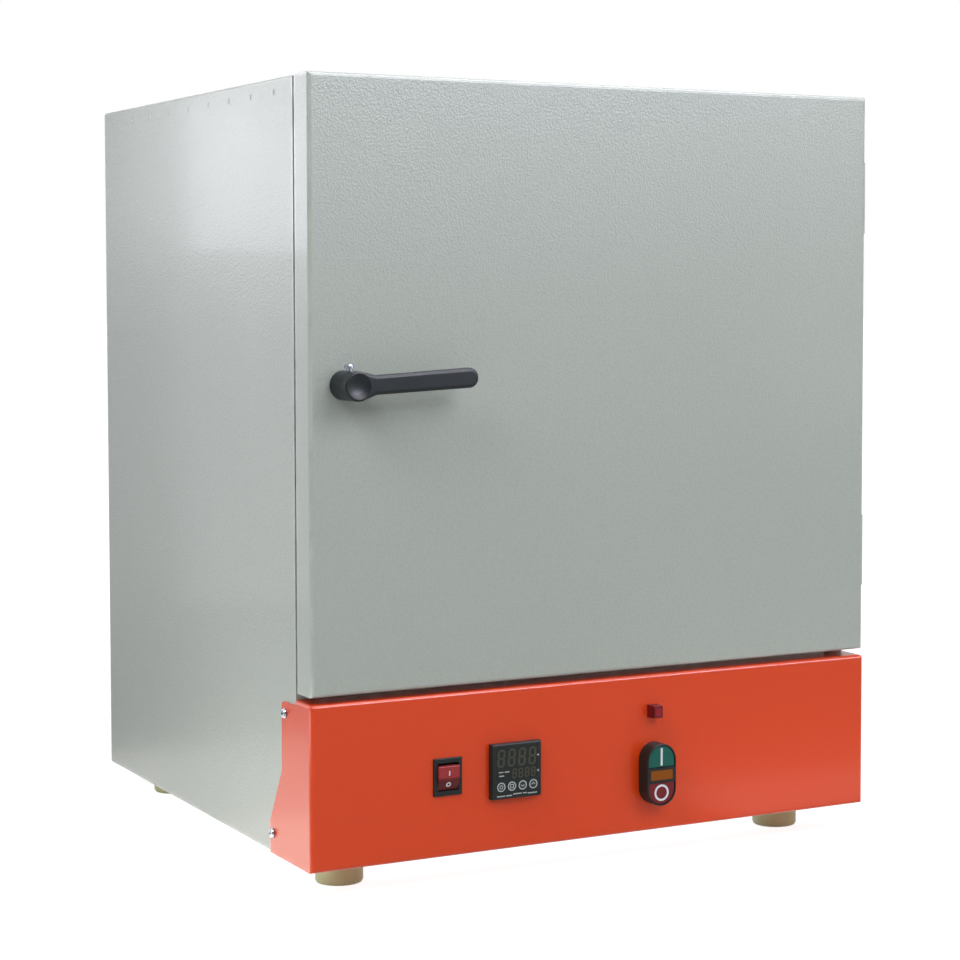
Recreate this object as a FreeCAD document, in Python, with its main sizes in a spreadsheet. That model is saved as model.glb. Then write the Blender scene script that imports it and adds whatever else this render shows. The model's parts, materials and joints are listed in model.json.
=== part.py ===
import FreeCAD, Part
import os
import re
import Sketcher

# Dry heat sterilizer: a folded steel cabinet round an insulated stainless chamber, with a
# side-hung door and a control panel under it. Millimetres, +Z up, +X to the right, and the
# door faces -Y. The origin lies on the feet's plane, midway between the door's face and the
# rear cover and midway between the sides.

os.makedirs("parts", exist_ok=True)
doc = FreeCAD.newDocument("dry_heat_sterilizer")

# The driving sizes, one spreadsheet cell with an alias each.
SIZES = {
    # general clearances
    "fit": 0.05,
    "play": 0.3,
    "overrun": 4,
    # cabinet shell and its folded edges
    "cabinet_width": 560,
    "cabinet_depth": 493,
    "cabinet_height": 660.5,
    "shell_sheet": 1.5,
    "shell_bend": 3,
    "front_flange": 18,
    "rear_flange": 16,
    "weld_radius": 3,
    "weld_depth": 0.6,
    "weld_first": 39.5,
    "weld_last": 37.5,
    "weld_drop": 12.2,
    # base tray and feet
    "base_flange": 20,
    "base_slot_length": 60,
    "base_slot_width": 3.5,
    "base_slot_pitch": 14,
    "foot_height": 27.5,
    "foot_radius": 20.9,
    "foot_taper": 0.8,
    "foot_round": 1.1,
    "foot_side_inset": 53.3,
    "foot_front_inset": 34,
    "foot_rear_inset": 42.5,
    "foot_screw_radius": 2.5,
    "foot_screw_head": 4.5,
    "foot_screw_head_height": 4,
    "foot_counterbore": 12,
    # front frame, partition and plates behind the chamber
    "frame_sheet": 1.5,
    "frame_lap": 10,
    "partition_sheet": 1.5,
    "wire_hole_radius": 12,
    "wire_hole_inset": 60,
    "cover_sheet": 1.2,
    "cover_margin": 4,
    "cover_slot_length": 70,
    "cover_slot_width": 3.6,
    "cover_slot_pitch": 10,
    "cover_screw_radius": 1.9,
    "cover_screw_head": 3.9,
    "cover_screw_head_height": 2.4,
    "cover_screw_length": 9,
    "cover_screw_inset": 9.5,
    "cover_screw_drop": 24,
    "recess_width": 1,
    "recess_depth": 1.3,
    # chamber and insulation
    "chamber_sheet": 1.2,
    "chamber_lip": 12,
    "floor_insulation": 61,
    "top_insulation": 55.8,
    "side_insulation": 67.3,
    "rear_insulation": 45,
    "rear_space": 48.1,
    # shelf rails and shelves
    "rail_sheet": 1.2,
    "rail_front_inset": 22,
    "rail_rear_gap": 12,
    "rail_end_inset": 26,
    "ledge_width": 14,
    "ledge_sheet": 1.5,
    "ledge_inset": 83,
    "shelf_rod": 3,
    "shelf_wire": 1.5,
    "shelf_side_gap": 2,
    "shelf_end_inset": 8,
    "weld_sink": 0.4,
    # rear baffle, heater and fan
    "fan_space": 45,
    "baffle_sheet": 1.2,
    "baffle_side_gap": 16,
    "baffle_hole_radius": 4,
    "baffle_ring_pitch": 16,
    "fan_radius": 80,
    "fan_blade_depth": 24,
    "fan_blade_length": 46,
    "fan_blade_sheet": 1.5,
    "fan_disc_sheet": 2,
    "fan_wall_gap": 9,
    "fan_hub_radius": 12,
    "fan_hub_depth": 16,
    "shaft_radius": 4,
    "shaft_hole_radius": 6,
    "heater_ring_radius": 108,
    "heater_rod_radius": 4.25,
    "heater_sweep": 340,
    "heater_wall_gap": 22,
    "heater_tail": 16,
    "heater_hole_gap": 0.4,
    "motor_flange": 96,
    "motor_flange_sheet": 3,
    "motor_radius": 36,
    "motor_length": 32,
    "motor_bell_radius": 28,
    "motor_bell_length": 5,
    "motor_bearing_depth": 24,
    # temperature probe and vent
    "probe_radius": 3,
    "probe_inset": 90,
    "probe_drop": 60,
    "probe_reach": 34,
    "gland_radius": 9,
    "gland_length": 8,
    "vent_bore": 10.5,
    "vent_wall": 1.5,
    "vent_inset": 60,
    "vent_drop": 45,
    "vent_stand": 8,
    "vent_collar": 19,
    # electrical parts in the lower compartment
    "rail_profile_width": 35,
    "rail_profile_height": 7.5,
    "rail_profile_base": 25,
    "rail_profile_sheet": 1,
    "din_length": 300,
    "din_rear_inset": 193,
    "din_x": 20,
    "contactor_width": 45,
    "contactor_depth": 74,
    "contactor_height": 80,
    "contactor_step": 14,
    "contactor_x": -60,
    "sink_width": 60,
    "sink_depth": 80,
    "sink_height": 34,
    "sink_base": 6,
    "sink_fin": 2,
    "relay_width": 45,
    "relay_depth": 58,
    "relay_height": 24,
    "sink_x": 40,
    "terminal_pitch": 8,
    "terminal_depth": 42,
    "terminal_height": 44,
    "terminal_bore": 2.2,
    "terminal_x": 115,
    # appliance inlet on the rear cover
    "inlet_inset": 100,
    "inlet_rise": 43,
    "inlet_flange_width": 50,
    "inlet_flange_height": 26,
    "inlet_flange": 2.5,
    "inlet_body_width": 28,
    "inlet_body_height": 21,
    "inlet_body_depth": 24,
    "inlet_socket_width": 24,
    "inlet_socket_height": 17,
    "inlet_socket_depth": 17,
    "inlet_pin_width": 2,
    "inlet_pin_height": 4,
    "inlet_pin_length": 12,
    "inlet_pin_pitch": 7,
    "inlet_pin_offset": 2,
    "inlet_screw_inset": 5,
    # control panel
    "panel_height": 140.8,
    "panel_lip": 1.3,
    "panel_sheet": 1.2,
    "panel_bend": 3.2,
    "panel_floor_lap": 12,
    "ear_depth_top": 62,
    "ear_depth_low": 89.5,
    "ear_kink_low": 27.8,
    "ear_kink_high": 76.3,
    "ear_corner": 5,
    "ear_drop": 4.8,
    "ear_screw_high_y": 53.5,
    "ear_screw_high_z": 126.5,
    "ear_screw_low_y": 82.5,
    "ear_screw_low_z": 18,
    "ear_screw_radius": 2,
    "ear_screw_head": 4.3,
    "ear_screw_head_height": 3.2,
    "ear_screw_length": 8,
    # rocker switch
    "rocker_x": 124.7,
    "controls_z": 69.5,
    "rocker_bezel_width": 26.6,
    "rocker_bezel_height": 32.4,
    "rocker_bezel": 2,
    "rocker_body_width": 22,
    "rocker_body_height": 28,
    "rocker_body_depth": 24,
    "rocker_width": 19.4,
    "rocker_half": 10.9,
    "rocker_crest": 7.7,
    "rocker_crest_round": 22,
    "rocker_end": 5.7,
    "rocker_back": 1.6,
    "rocker_keel": 4,
    "rocker_keel_half": 6,
    "rocker_pivot_depth": 3,
    "rocker_pin_radius": 1.5,
    "rocker_pin_length": 0.7,
    "rocker_tilt": 12,
    "rocker_recess_half": 12,
    "rocker_recess_depth": 12,
    "blade_width": 6.3,
    "blade_sheet": 0.8,
    "blade_length": 9,
    "blade_pitch": 10,
    # temperature controller
    "controller_x": 188.7,
    "controller_face": 48,
    "controller_proud": 6.5,
    "controller_round": 1.2,
    "controller_body": 44.6,
    "controller_depth": 78,
    "window_width": 42,
    "window_height": 29,
    "window_sheet": 1,
    "window_rise": 7.4,
    "key_radius": 4,
    "key_pitch": 10.45,
    "key_drop": 13.1,
    "key_depth": 3,
    "key_stand": 0.6,
    "key_travel": 0.5,
    # pilot lamp
    "lamp_x": 329.1,
    "lamp_z": 108.4,
    "lamp_base_width": 10.4,
    "lamp_base_height": 11.4,
    "lamp_face_width": 8.6,
    "lamp_face_height": 10.2,
    "lamp_rim": 1.5,
    "lamp_proud": 11,
    "lamp_body_radius": 4.5,
    "lamp_body_depth": 22,
    # double push-button
    "button_x": 330.2,
    "button_z": 52.6,
    "button_width": 29.9,
    "button_height": 55.6,
    "button_proud": 15.2,
    "button_rim": 1.5,
    "button_edge": 0.8,
    "button_neck_radius": 11,
    "button_neck_depth": 20,
    "button_travel": 4,
    "button_cap_depth": 7,
    "button_green_floor": 6.8,
    "button_red_top": 6.6,
    "button_recess": 0.7,
    "lens_width": 22.4,
    "lens_height": 8.6,
    "lens_depth": 5,
    "contact_width": 30,
    "contact_height": 46,
    "contact_depth": 40,
    # door
    "door_thickness": 29.5,
    "door_gap": 3.5,
    "door_floor_gap": 5.9,
    "door_top_rise": 0.4,
    "door_sheet": 1.2,
    "door_bend": 3.5,
    "door_return": 16,
    "door_wool_gap": 2.4,
    "plug_gap": 8,
    "plug_depth": 10.5,
    "plug_round": 10,
    "seal_offset": 5,
    "seal_width": 14,
    "seal_round": 2,
    "seal_corner": 12,
    # hinges
    "hinge_barrel": 5,
    "hinge_gap": 0.4,
    "hinge_pin": 2.5,
    "hinge_height": 66,
    "hinge_knuckle": 22,
    "hinge_inset": 60,
    "hinge_leaf": 2,
    "hinge_leaf_depth": 22,
    "hinge_leaf_gap": 0.5,
    "hinge_cap": 3.6,
    "hinge_cap_height": 1.6,
    # latch and its lever
    "handle_inset": 30,
    "handle_height": 258.7,
    "hub_radius": 12.4,
    "hub_length": 33,
    "hub_gap": 0.4,
    "hub_edge": 1.6,
    "dish_radius": 10.6,
    "dish_depth": 2.6,
    "lever_length": 109.8,
    "lever_thickness": 11,
    "lever_neck_half": 8.1,
    "lever_tip_half": 8.5,
    "lever_neck_reach": 16,
    "lever_shoulder_reach": 8.5,
    "lever_shoulder_half": 10.7,
    "lever_edge": 3.2,
    "lever_tilt": 3,
    "spindle_radius": 5,
    "spindle_socket": 24,
    "sleeve_wall": 3,
    "set_screw_radius": 2.5,
    "set_screw_head": 4.1,
    "set_screw_head_height": 3.2,
    "set_screw_stand": 2.2,
    "set_screw_y": 14,
    "tongue_length": 24,
    "tongue_half": 4,
    "tongue_thickness": 5,
    "tongue_gap": 0.5,
    "strike_sheet": 2,
    "strike_half": 12,
    "strike_lap": 1.5,
    "strike_side_gap": 2.5,
    "slot_half": 7,
    "slot_gap": 3,
    "latch_pocket_half": 32,
    "latch_pocket_depth": 14,
}

# Places that follow from the sizes, as formulas on the first sheet.
PLACES = {
    "front_y": "-(door_thickness + door_gap + cabinet_depth) / 2",
    "door_back_y": "front_y + door_thickness",
    "cabinet_front_y": "door_back_y + door_gap",
    "rear_y": "cabinet_front_y + cabinet_depth",
    "shell_rear_y": "rear_y - cover_sheet",
    "side_x": "cabinet_width / 2",
    "inner_x": "side_x - shell_sheet",
    "floor_z": "foot_height",
    "top_z": "foot_height + cabinet_height",
    "roof_z": "top_z - shell_sheet",
    "tray_z": "floor_z + shell_sheet",
    "panel_bottom_z": "floor_z - panel_sheet",
    "panel_top_z": "panel_bottom_z + panel_height",
    "partition_z": "panel_top_z - panel_lip",
    "partition_top_z": "partition_z + partition_sheet",
    "frame_front_y": "cabinet_front_y + shell_sheet",
    "frame_back_y": "frame_front_y + frame_sheet",
    "plate_back_y": "shell_rear_y - rear_space",
    "plate_y": "plate_back_y - shell_sheet",
    "chamber_wall_x": "inner_x - side_insulation",
    "chamber_x": "chamber_wall_x - chamber_sheet",
    "chamber_back_y": "plate_y - rear_insulation",
    "chamber_rear_y": "chamber_back_y - chamber_sheet",
    "chamber_under_z": "partition_top_z + floor_insulation",
    "chamber_floor_z": "chamber_under_z + chamber_sheet",
    "chamber_over_z": "roof_z - top_insulation",
    "chamber_top_z": "chamber_over_z - chamber_sheet",
    "chamber_mid_z": "(chamber_floor_z + chamber_top_z) / 2",
    "ledge_pitch": "(chamber_top_z - chamber_floor_z - 2 * ledge_inset) / 3",
    "weld_pitch": "(cabinet_depth - weld_first - weld_last) / 8",
    "weld_ball": "(weld_radius ^ 2 + weld_depth ^ 2) / (2 * weld_depth)",
    "baffle_y": "chamber_rear_y - fan_space",
    "heater_y": "chamber_rear_y - heater_wall_gap",
    "fan_disc_y": "chamber_rear_y - fan_wall_gap - fan_disc_sheet",
    "probe_x": "chamber_x - probe_inset",
    "probe_z": "chamber_top_z - probe_drop",
    "vent_x": "vent_inset - chamber_x",
    "vent_z": "chamber_top_z - vent_drop",
    "inlet_x": "side_x - inlet_inset",
    "inlet_z": "tray_z + inlet_rise",
    "vent_radius": "vent_bore + vent_wall",
    "door_bottom_z": "panel_top_z + door_floor_gap",
    "door_top_z": "top_z + door_top_rise",
    "inner_panel_back_y": "door_back_y - door_sheet",
    "inner_panel_front_y": "inner_panel_back_y - door_sheet",
    "inner_panel_x": "side_x - door_sheet - door_wool_gap",
    "inner_panel_bottom_z": "door_bottom_z + door_sheet + door_wool_gap",
    "inner_panel_top_z": "door_top_z - door_sheet - door_wool_gap",
    "plug_x": "chamber_x - plug_gap",
    "plug_bottom_z": "chamber_floor_z + plug_gap",
    "plug_top_z": "chamber_top_z - plug_gap",
    "plug_y": "frame_front_y + plug_depth",
    "seal_x": "chamber_x + seal_offset",
    "seal_bottom_z": "chamber_floor_z - seal_offset",
    "seal_top_z": "chamber_top_z + seal_offset",
    "hinge_x": "side_x + hinge_gap + hinge_barrel",
    "hinge_y": "door_back_y + door_gap / 2",
    "hinge_low_z": "door_bottom_z + hinge_inset",
    "hinge_high_z": "door_top_z - hinge_inset - hinge_height",
    "handle_x": "handle_inset - side_x",
    "handle_z": "door_bottom_z + handle_height",
    "tongue_y": "frame_back_y + strike_sheet + tongue_gap",
    "tongue_back_y": "tongue_y + tongue_thickness",
    "panel_back_y": "front_y + panel_sheet",
    "foot_front_y": "cabinet_front_y + foot_front_inset",
    "foot_rear_y": "rear_y - foot_rear_inset",
    "foot_x": "side_x - foot_side_inset",
    "switch_x": "rocker_x - side_x",
    "switch_z": "panel_bottom_z + controls_z",
    "rocker_pivot_y": "front_y + rocker_pivot_depth",
    "meter_x": "controller_x - side_x",
    "meter_face_y": "front_y - controller_proud",
    "pilot_x": "lamp_x - side_x",
    "pilot_z": "panel_bottom_z + lamp_z",
    "push_x": "button_x - side_x",
    "push_z": "panel_bottom_z + button_z",
    "push_face_y": "front_y - button_proud",
    "push_inner_half": "button_width / 2 - button_rim",
    "push_inner_height": "button_height / 2 - button_rim",
    "din_y": "rear_y - din_rear_inset",
    "din_top_z": "tray_z + rail_profile_height",
}


def make_sheet(name, cells):
    """Fill a spreadsheet with one named cell per row."""
    sheet = doc.addObject("Spreadsheet::Sheet", name)
    for row, (alias, content) in enumerate(cells.items(), start=1):
        sheet.set(f"A{row}", alias)
        sheet.set(f"B{row}", content)
        sheet.setAlias(f"B{row}", alias)
    return sheet


def expand(formula):
    """Put the sheet's name before each size in a formula."""
    def with_sheet(match):
        word = match.group()
        if word in SIZES:
            return f"Sizes.{word}"
        if word in PLACES:
            return f"Places.{word}"
        return word
    return re.sub(r"[a-z][a-z_0-9]*", with_sheet, formula)


sizes = make_sheet("Sizes", {name: str(number) for name, number in SIZES.items()})
doc.recompute()
places = make_sheet("Places", {name: "=" + expand(text).replace("Places.", "")
                               for name, text in PLACES.items()})
doc.recompute()


def value(formula):
    """Work a formula out as a plain number."""
    return float(places.evalExpression(expand(formula)))


def bind(item, **formulas):
    """Tie properties to formulas; two underscores stand for a dot in a property's path."""
    for path, formula in formulas.items():
        item.setExpression(path.replace("__", "."), expand(formula))
    return item


DIRECTIONS = {
    "+x": FreeCAD.Vector(1, 0, 0),
    "-x": FreeCAD.Vector(-1, 0, 0),
    "+y": FreeCAD.Vector(0, 1, 0),
    "-y": FreeCAD.Vector(0, -1, 0),
    "+z": FreeCAD.Vector(0, 0, 1),
    "-z": FreeCAD.Vector(0, 0, -1),
}


def place(item, x, y, z):
    """Tie an item's base point to three formulas."""
    return bind(item, Placement__Base__x=x, Placement__Base__y=y, Placement__Base__z=z)


def point_along(item, direction):
    """Turn an item's own Z axis to one of the frame's directions."""
    turn = FreeCAD.Rotation(DIRECTIONS["+z"], DIRECTIONS[direction])
    item.Placement = FreeCAD.Placement(item.Placement.Base, turn)
    return item


def block(name, x, y, z):
    """A box between pairs of formulas along X, Y and Z."""
    box = doc.addObject("Part::Box", name)
    bind(box, Length=f"({x[1]}) - ({x[0]})", Width=f"({y[1]}) - ({y[0]})",
         Height=f"({z[1]}) - ({z[0]})")
    return place(box, x[0], y[0], z[0])


def rod(name, direction, radius, length, x, y, z):
    """A cylinder that starts at a point and runs along a direction."""
    cylinder = point_along(doc.addObject("Part::Cylinder", name), direction)
    bind(cylinder, Radius=radius, Height=length)
    return place(cylinder, x, y, z)


def ball(name, radius, x, y, z):
    """A sphere at a point."""
    sphere = doc.addObject("Part::Sphere", name)
    bind(sphere, Radius=radius)
    return place(sphere, x, y, z)


def fuse(name, *pieces):
    """Join pieces into one solid."""
    union = doc.addObject("Part::MultiFuse", name)
    union.Shapes = list(pieces)
    union.Refine = True
    return union


def group(name, *pieces):
    """Hold like pieces together as separate solids."""
    compound = doc.addObject("Part::Compound", name)
    compound.Links = list(pieces)
    return compound


def cut(name, base, *tools):
    """Take tools out of a base."""
    result = doc.addObject("Part::Cut", name)
    result.Base = base
    if len(tools) == 1:
        result.Tool = tools[0]
    else:
        result.Tool = group(name + "_tools", *tools)
    return result


# The sketch planes: the world axes that a sketch's two directions follow, and whether its
# normal points along the third axis or against it.
PLANES = {
    "XY_Plane": ("x", "y", 1),
    "XZ_Plane": ("x", "z", -1),
    "YZ_Plane": ("y", "z", 1),
}


def origin_plane(body, role):
    """Find one of a body's own origin planes."""
    return next(item for item in body.Origin.OriginFeatures if item.Role == role)


def outline(body, name, role, corners, offset="0"):
    """Sketch a closed outline whose corners are pairs of formulas."""
    sketch = body.newObject("Sketcher::SketchObject", name)
    sketch.AttachmentSupport = [(origin_plane(body, role), "")]
    sketch.MapMode = "FlatFace"
    bind(sketch, AttachmentOffset__Base__z=offset)
    points = [(value(u), value(v)) for u, v in corners]
    for (u, v), (next_u, next_v) in zip(points, points[1:] + points[:1]):
        line = Part.LineSegment(FreeCAD.Vector(u, v, 0), FreeCAD.Vector(next_u, next_v, 0))
        sketch.addGeometry(line, False)
    for index in range(len(points)):
        following = (index + 1) % len(points)
        sketch.addConstraint(Sketcher.Constraint("Coincident", index, 2, following, 1))
    for index, (point, formulas) in enumerate(zip(points, corners)):
        for kind, number, formula in zip(("DistanceX", "DistanceY"), point, formulas):
            constraint = Sketcher.Constraint(kind, -1, 1, index, 1, number)
            held = sketch.addConstraint(constraint)
            sketch.setExpression(f"Constraints[{held}]", expand(formula))
    return sketch


def layer(body, kind, name, role, corners, low, high):
    """Add or take away a prism between two places along the sketch's third axis."""
    against = PLANES[role][2] < 0
    start = f"-({high})" if against else low
    feature = body.newObject(f"PartDesign::{kind}", name)
    feature.Profile = outline(body, name + "_outline", role, corners, start)
    bind(feature, Length=f"({high}) - ({low})")
    if kind == "Pocket":
        feature.Reversed = True
    doc.recompute()
    return feature


def solid_body(name, role, corners, low, high):
    """Start a body with one padded outline."""
    body = doc.addObject("PartDesign::Body", name)
    layer(body, "Pad", name + "_pad", role, corners, low, high)
    return body


def add(body, name, role, corners, low, high):
    """Pad one more outline onto a body."""
    return layer(body, "Pad", name, role, corners, low, high)


def carve(body, name, role, corners, low, high):
    """Pocket an outline out of a body, and make sure that it bites."""
    before = body.Shape.Volume
    feature = layer(body, "Pocket", name, role, corners, low, high)
    if body.Shape.Volume >= before:
        raise ValueError(f"{name} cuts nothing")
    return feature


def rectangle(u, v):
    """The corners of a rectangle between two pairs of formulas."""
    return [(u[0], v[0]), (u[1], v[0]), (u[1], v[1]), (u[0], v[1])]


def near(first, second):
    return abs(first - second) < value("fit") / 10


def lies_at(edge, **coordinates):
    """Tell whether an edge lies wholly at the given coordinates."""
    ends = [vertex.Point for vertex in edge.Vertexes] + [edge.CenterOfMass]
    for axis, formula in coordinates.items():
        if not all(near(getattr(end, axis), value(formula)) for end in ends):
            return False
    return True


def round_edges(body, name, radius, *wanted):
    """Fillet the edges that lie at the given coordinates, such as {"x": "side_x"}."""
    tip = body.Tip
    names = [f"Edge{number}" for number, edge in enumerate(tip.Shape.Edges, start=1)
             if any(lies_at(edge, **coordinates) for coordinates in wanted)]
    fillet = body.newObject("PartDesign::Fillet", name)
    fillet.Base = (tip, names)
    bind(fillet, Radius=radius)
    doc.recompute()
    return fillet


def turned(name, profile, direction, x, y, z):
    """A turned piece from (radius, distance) corners, along a direction from a point."""
    body = doc.addObject("PartDesign::Body", name)
    sketch = outline(body, name + "_profile", "XZ_Plane", profile)
    revolution = body.newObject("PartDesign::Revolution", name + "_turning")
    revolution.Profile = sketch
    revolution.ReferenceAxis = (sketch, ["V_Axis"])
    revolution.Angle = 360
    doc.recompute()
    return place(point_along(body, direction), x, y, z)


def mirrored(name, source):
    """The same piece on the other side of the middle."""
    mirror = doc.addObject("Part::Mirroring", name)
    mirror.Source = source
    mirror.Normal = DIRECTIONS["+x"]
    return mirror


nodes = {}


def keep(name, item):
    """Name a finished sub-part."""
    item.Label = name
    nodes[name] = item
    return item


def cross_recess(name, direction, head, head_height, x, y, z):
    """Two crossed slots for the top of a screw's head, as cutting tools."""
    axis = direction[1]
    bottom = f"({head_height}) - recess_depth"
    top = f"({head_height}) + overrun"
    centre = {"x": x, "y": y, "z": z}
    slots = []
    for number, long_axis in enumerate([other for other in "xyz" if other != axis]):
        spans = {}
        for other in "xyz":
            half = f"({head}) * 0.55" if other == long_axis else "recess_width / 2"
            spans[other] = (f"{centre[other]} - {half}", f"{centre[other]} + {half}")
        if direction[0] == "-":
            spans[axis] = (f"{centre[axis]} - ({top})", f"{centre[axis]} - ({bottom})")
        else:
            spans[axis] = (f"{centre[axis]} + {bottom}", f"{centre[axis]} + {top}")
        slots.append(block(f"{name}_slot_{number}", spans["x"], spans["y"], spans["z"]))
    return slots


def pan_head_screw(name, direction, shank, head, head_height, length, x, y, z):
    """A screw whose head rises along a direction from the seat at a point."""
    profile = [("0", f"-({length})"), (shank, f"-({length})"), (shank, "0"), (head, "0"),
               (head, f"({head_height}) * 0.4"), (f"({head}) * 0.8", f"({head_height}) * 0.85"),
               (f"({head}) * 0.35", head_height), ("0", head_height)]
    blank = turned(f"{name}_blank", profile, direction, x, y, z)
    return cut(name, blank, *cross_recess(name, direction, head, head_height, x, y, z))


# Outer shell: one U of sheet over both sides and the top, with its edges folded in.
def outer_shell():
    body = solid_body(
        "shell_bent", "XZ_Plane",
        [("-side_x", "floor_z"), ("-side_x", "top_z"), ("side_x", "top_z"),
         ("side_x", "floor_z"), ("inner_x", "floor_z"), ("inner_x", "roof_z"),
         ("-inner_x", "roof_z"), ("-inner_x", "floor_z")],
        "cabinet_front_y", "shell_rear_y")
    round_edges(body, "shell_corners", "shell_bend",
                {"x": "-side_x", "z": "top_z"}, {"x": "side_x", "z": "top_z"})
    for name, width, low, high in (
            ("front", "front_flange", "cabinet_front_y", "frame_front_y"),
            ("rear", "rear_flange", "shell_rear_y - shell_sheet", "shell_rear_y")):
        inside = f"side_x - {width}"
        add(body, f"shell_{name}_flange", "XZ_Plane",
            [("-inner_x", "floor_z"), ("-inner_x", "roof_z"), ("inner_x", "roof_z"),
             ("inner_x", "floor_z"), (inside, "floor_z"), (inside, f"top_z - {width}"),
             (f"-({inside})", f"top_z - {width}"), (f"-({inside})", "floor_z")], low, high)
    tools = []
    for side, sign in (("left", "-1"), ("right", "1")):
        outward = "-x" if side == "left" else "+x"
        for number in range(9):
            tools.append(ball(f"weld_{side}_{number}", "weld_ball",
                              f"{sign} * (side_x - weld_depth + weld_ball)",
                              f"cabinet_front_y + weld_first + {number} * weld_pitch",
                              "top_z - weld_drop"))
        for height, depth in (("ear_screw_high_z", "ear_screw_high_y"),
                              ("ear_screw_low_z", "ear_screw_low_y")):
            tools.append(rod(f"shell_hole_{side}_{depth}", outward, "ear_screw_radius + fit",
                             "2 * overrun", f"{sign} * (side_x - overrun)",
                             f"front_y + {depth}", f"panel_bottom_z + {height}"))
    tools += cover_screw_rods("shell", "cover_screw_radius + fit")
    return cut("outer_shell", body, *tools)


# The rear cover's screws: four down each side, two along the top and two along the bottom.
def cover_screw_places():
    side = "side_x - cover_screw_inset"
    lowest = "floor_z + cover_screw_drop"
    rise = "(cabinet_height - 2 * cover_screw_drop) / 3"
    spots = []
    for sign in ("-1", "1"):
        for step in range(4):
            spots.append((f"{sign} * ({side})", f"{lowest} + {step} * {rise}"))
        spots.append((f"{sign} * side_x / 3", "top_z - cover_screw_inset"))
        spots.append((f"{sign} * side_x / 3", "floor_z + cover_screw_inset"))
    return spots


def cover_screw_rods(owner, radius):
    return [rod(f"{owner}_screw_hole_{number}", "+y", radius, "3 * overrun",
                x, "rear_y - 2 * overrun", z)
            for number, (x, z) in enumerate(cover_screw_places())]


def rear_cover_screws():
    return group("rear_cover_screws", *[
        pan_head_screw(f"cover_screw_{number}", "+y", "cover_screw_radius", "cover_screw_head",
                       "cover_screw_head_height", "cover_screw_length", x, "rear_y", z)
        for number, (x, z) in enumerate(cover_screw_places())])


# Base tray: the floor of the cabinet, with upturned sides and back, and slots for air.
def base_plate():
    body = solid_body("base_folded", "XY_Plane",
                      rectangle(("-inner_x", "inner_x"), ("frame_front_y",
                                                          "shell_rear_y - shell_sheet")),
                      "floor_z", "floor_z + base_flange")
    carve(body, "base_inside", "XY_Plane",
          rectangle(("-(inner_x - shell_sheet)", "inner_x - shell_sheet"),
                    ("frame_front_y - overrun", "shell_rear_y - 2 * shell_sheet")),
          "tray_z", "floor_z + base_flange + overrun")
    tools = []
    for number in range(-5, 6):
        tools.append(block(f"base_slot_{number + 5}",
                           (f"{number} * base_slot_pitch - base_slot_width / 2",
                            f"{number} * base_slot_pitch + base_slot_width / 2"),
                           ("-base_slot_length - foot_radius", "-foot_radius"),
                           ("floor_z - overrun", "tray_z + overrun")))
    for number, (x, y) in enumerate(foot_places()):
        tools.append(rod(f"base_foot_hole_{number}", "+z", "foot_screw_radius + fit",
                         "3 * overrun", x, y, "floor_z - overrun"))
    for sign, outward in (("-1", "-x"), ("1", "+x")):
        tools.append(rod(f"base_ear_hole_{outward}", outward, "ear_screw_radius + fit",
                         "3 * overrun", f"{sign} * (side_x - 2 * overrun)",
                         "front_y + ear_screw_low_y", "panel_bottom_z + ear_screw_low_z"))
    tools += cover_screw_rods("base", "cover_screw_radius + fit")
    return cut("base_plate", body, *tools)


def foot_places():
    return [(f"{sign} * foot_x", y) for y in ("foot_front_y", "foot_rear_y")
            for sign in ("-1", "1")]


# Feet: turned plastic blocks, counterbored from below for their screws.
def feet():
    profile = [("foot_screw_radius + fit", "foot_height"), ("foot_radius", "foot_height"),
               ("foot_radius", "foot_round + foot_taper"),
               ("foot_radius - foot_round", "0"), ("foot_screw_head + play", "0"),
               ("foot_screw_head + play", "foot_counterbore"),
               ("foot_screw_radius + fit", "foot_counterbore")]
    return group("feet", *[turned(f"foot_{number}", profile, "+z", x, y, "0")
                           for number, (x, y) in enumerate(foot_places())])


def foot_screws():
    profile = [("0", "foot_counterbore - foot_screw_head_height"),
               ("foot_screw_head", "foot_counterbore - foot_screw_head_height"),
               ("foot_screw_head", "foot_counterbore"),
               ("foot_screw_radius", "foot_counterbore"),
               ("foot_screw_radius", "tray_z + overrun"), ("0", "tray_z + overrun")]
    return group("foot_screws", *[turned(f"foot_screw_{number}", profile, "+z", x, y, "0")
                                  for number, (x, y) in enumerate(foot_places())])


# Front frame: the plate round the chamber's mouth that the door's seal meets.
def front_frame():
    body = solid_body("frame_cut", "XZ_Plane",
                      rectangle(("-inner_x", "inner_x"), ("partition_z - frame_lap", "roof_z")),
                      "frame_front_y", "frame_back_y")
    carve(body, "frame_mouth", "XZ_Plane",
          rectangle(("-chamber_x", "chamber_x"), ("chamber_floor_z", "chamber_top_z")),
          "frame_front_y - overrun", "frame_back_y + overrun")
    carve(body, "frame_slot", "XZ_Plane",
          rectangle(("handle_x - slot_half", "handle_x + slot_half"),
                    ("handle_z - tongue_length - slot_gap", "handle_z + slot_half + slot_gap")),
          "frame_front_y - overrun", "frame_back_y + overrun")
    round_edges(body, "frame_slot_corners", "slot_half / 2",
                *[{"x": f"handle_x + {sign} * slot_half", "z": z} for sign in ("-1", "1")
                  for z in ("handle_z - tongue_length - slot_gap",
                            "handle_z + slot_half + slot_gap")])
    return body


# Strike: the wear plate behind the frame that the latch tongue turns behind.
def strike_plate():
    body = solid_body("strike_plate", "XZ_Plane",
                      rectangle(("-(inner_x - strike_side_gap)",
                                 "handle_x - slot_half - strike_lap"),
                                ("handle_z - strike_half", "handle_z + strike_half")),
                      "frame_back_y", "frame_back_y + strike_sheet")
    return body


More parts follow.
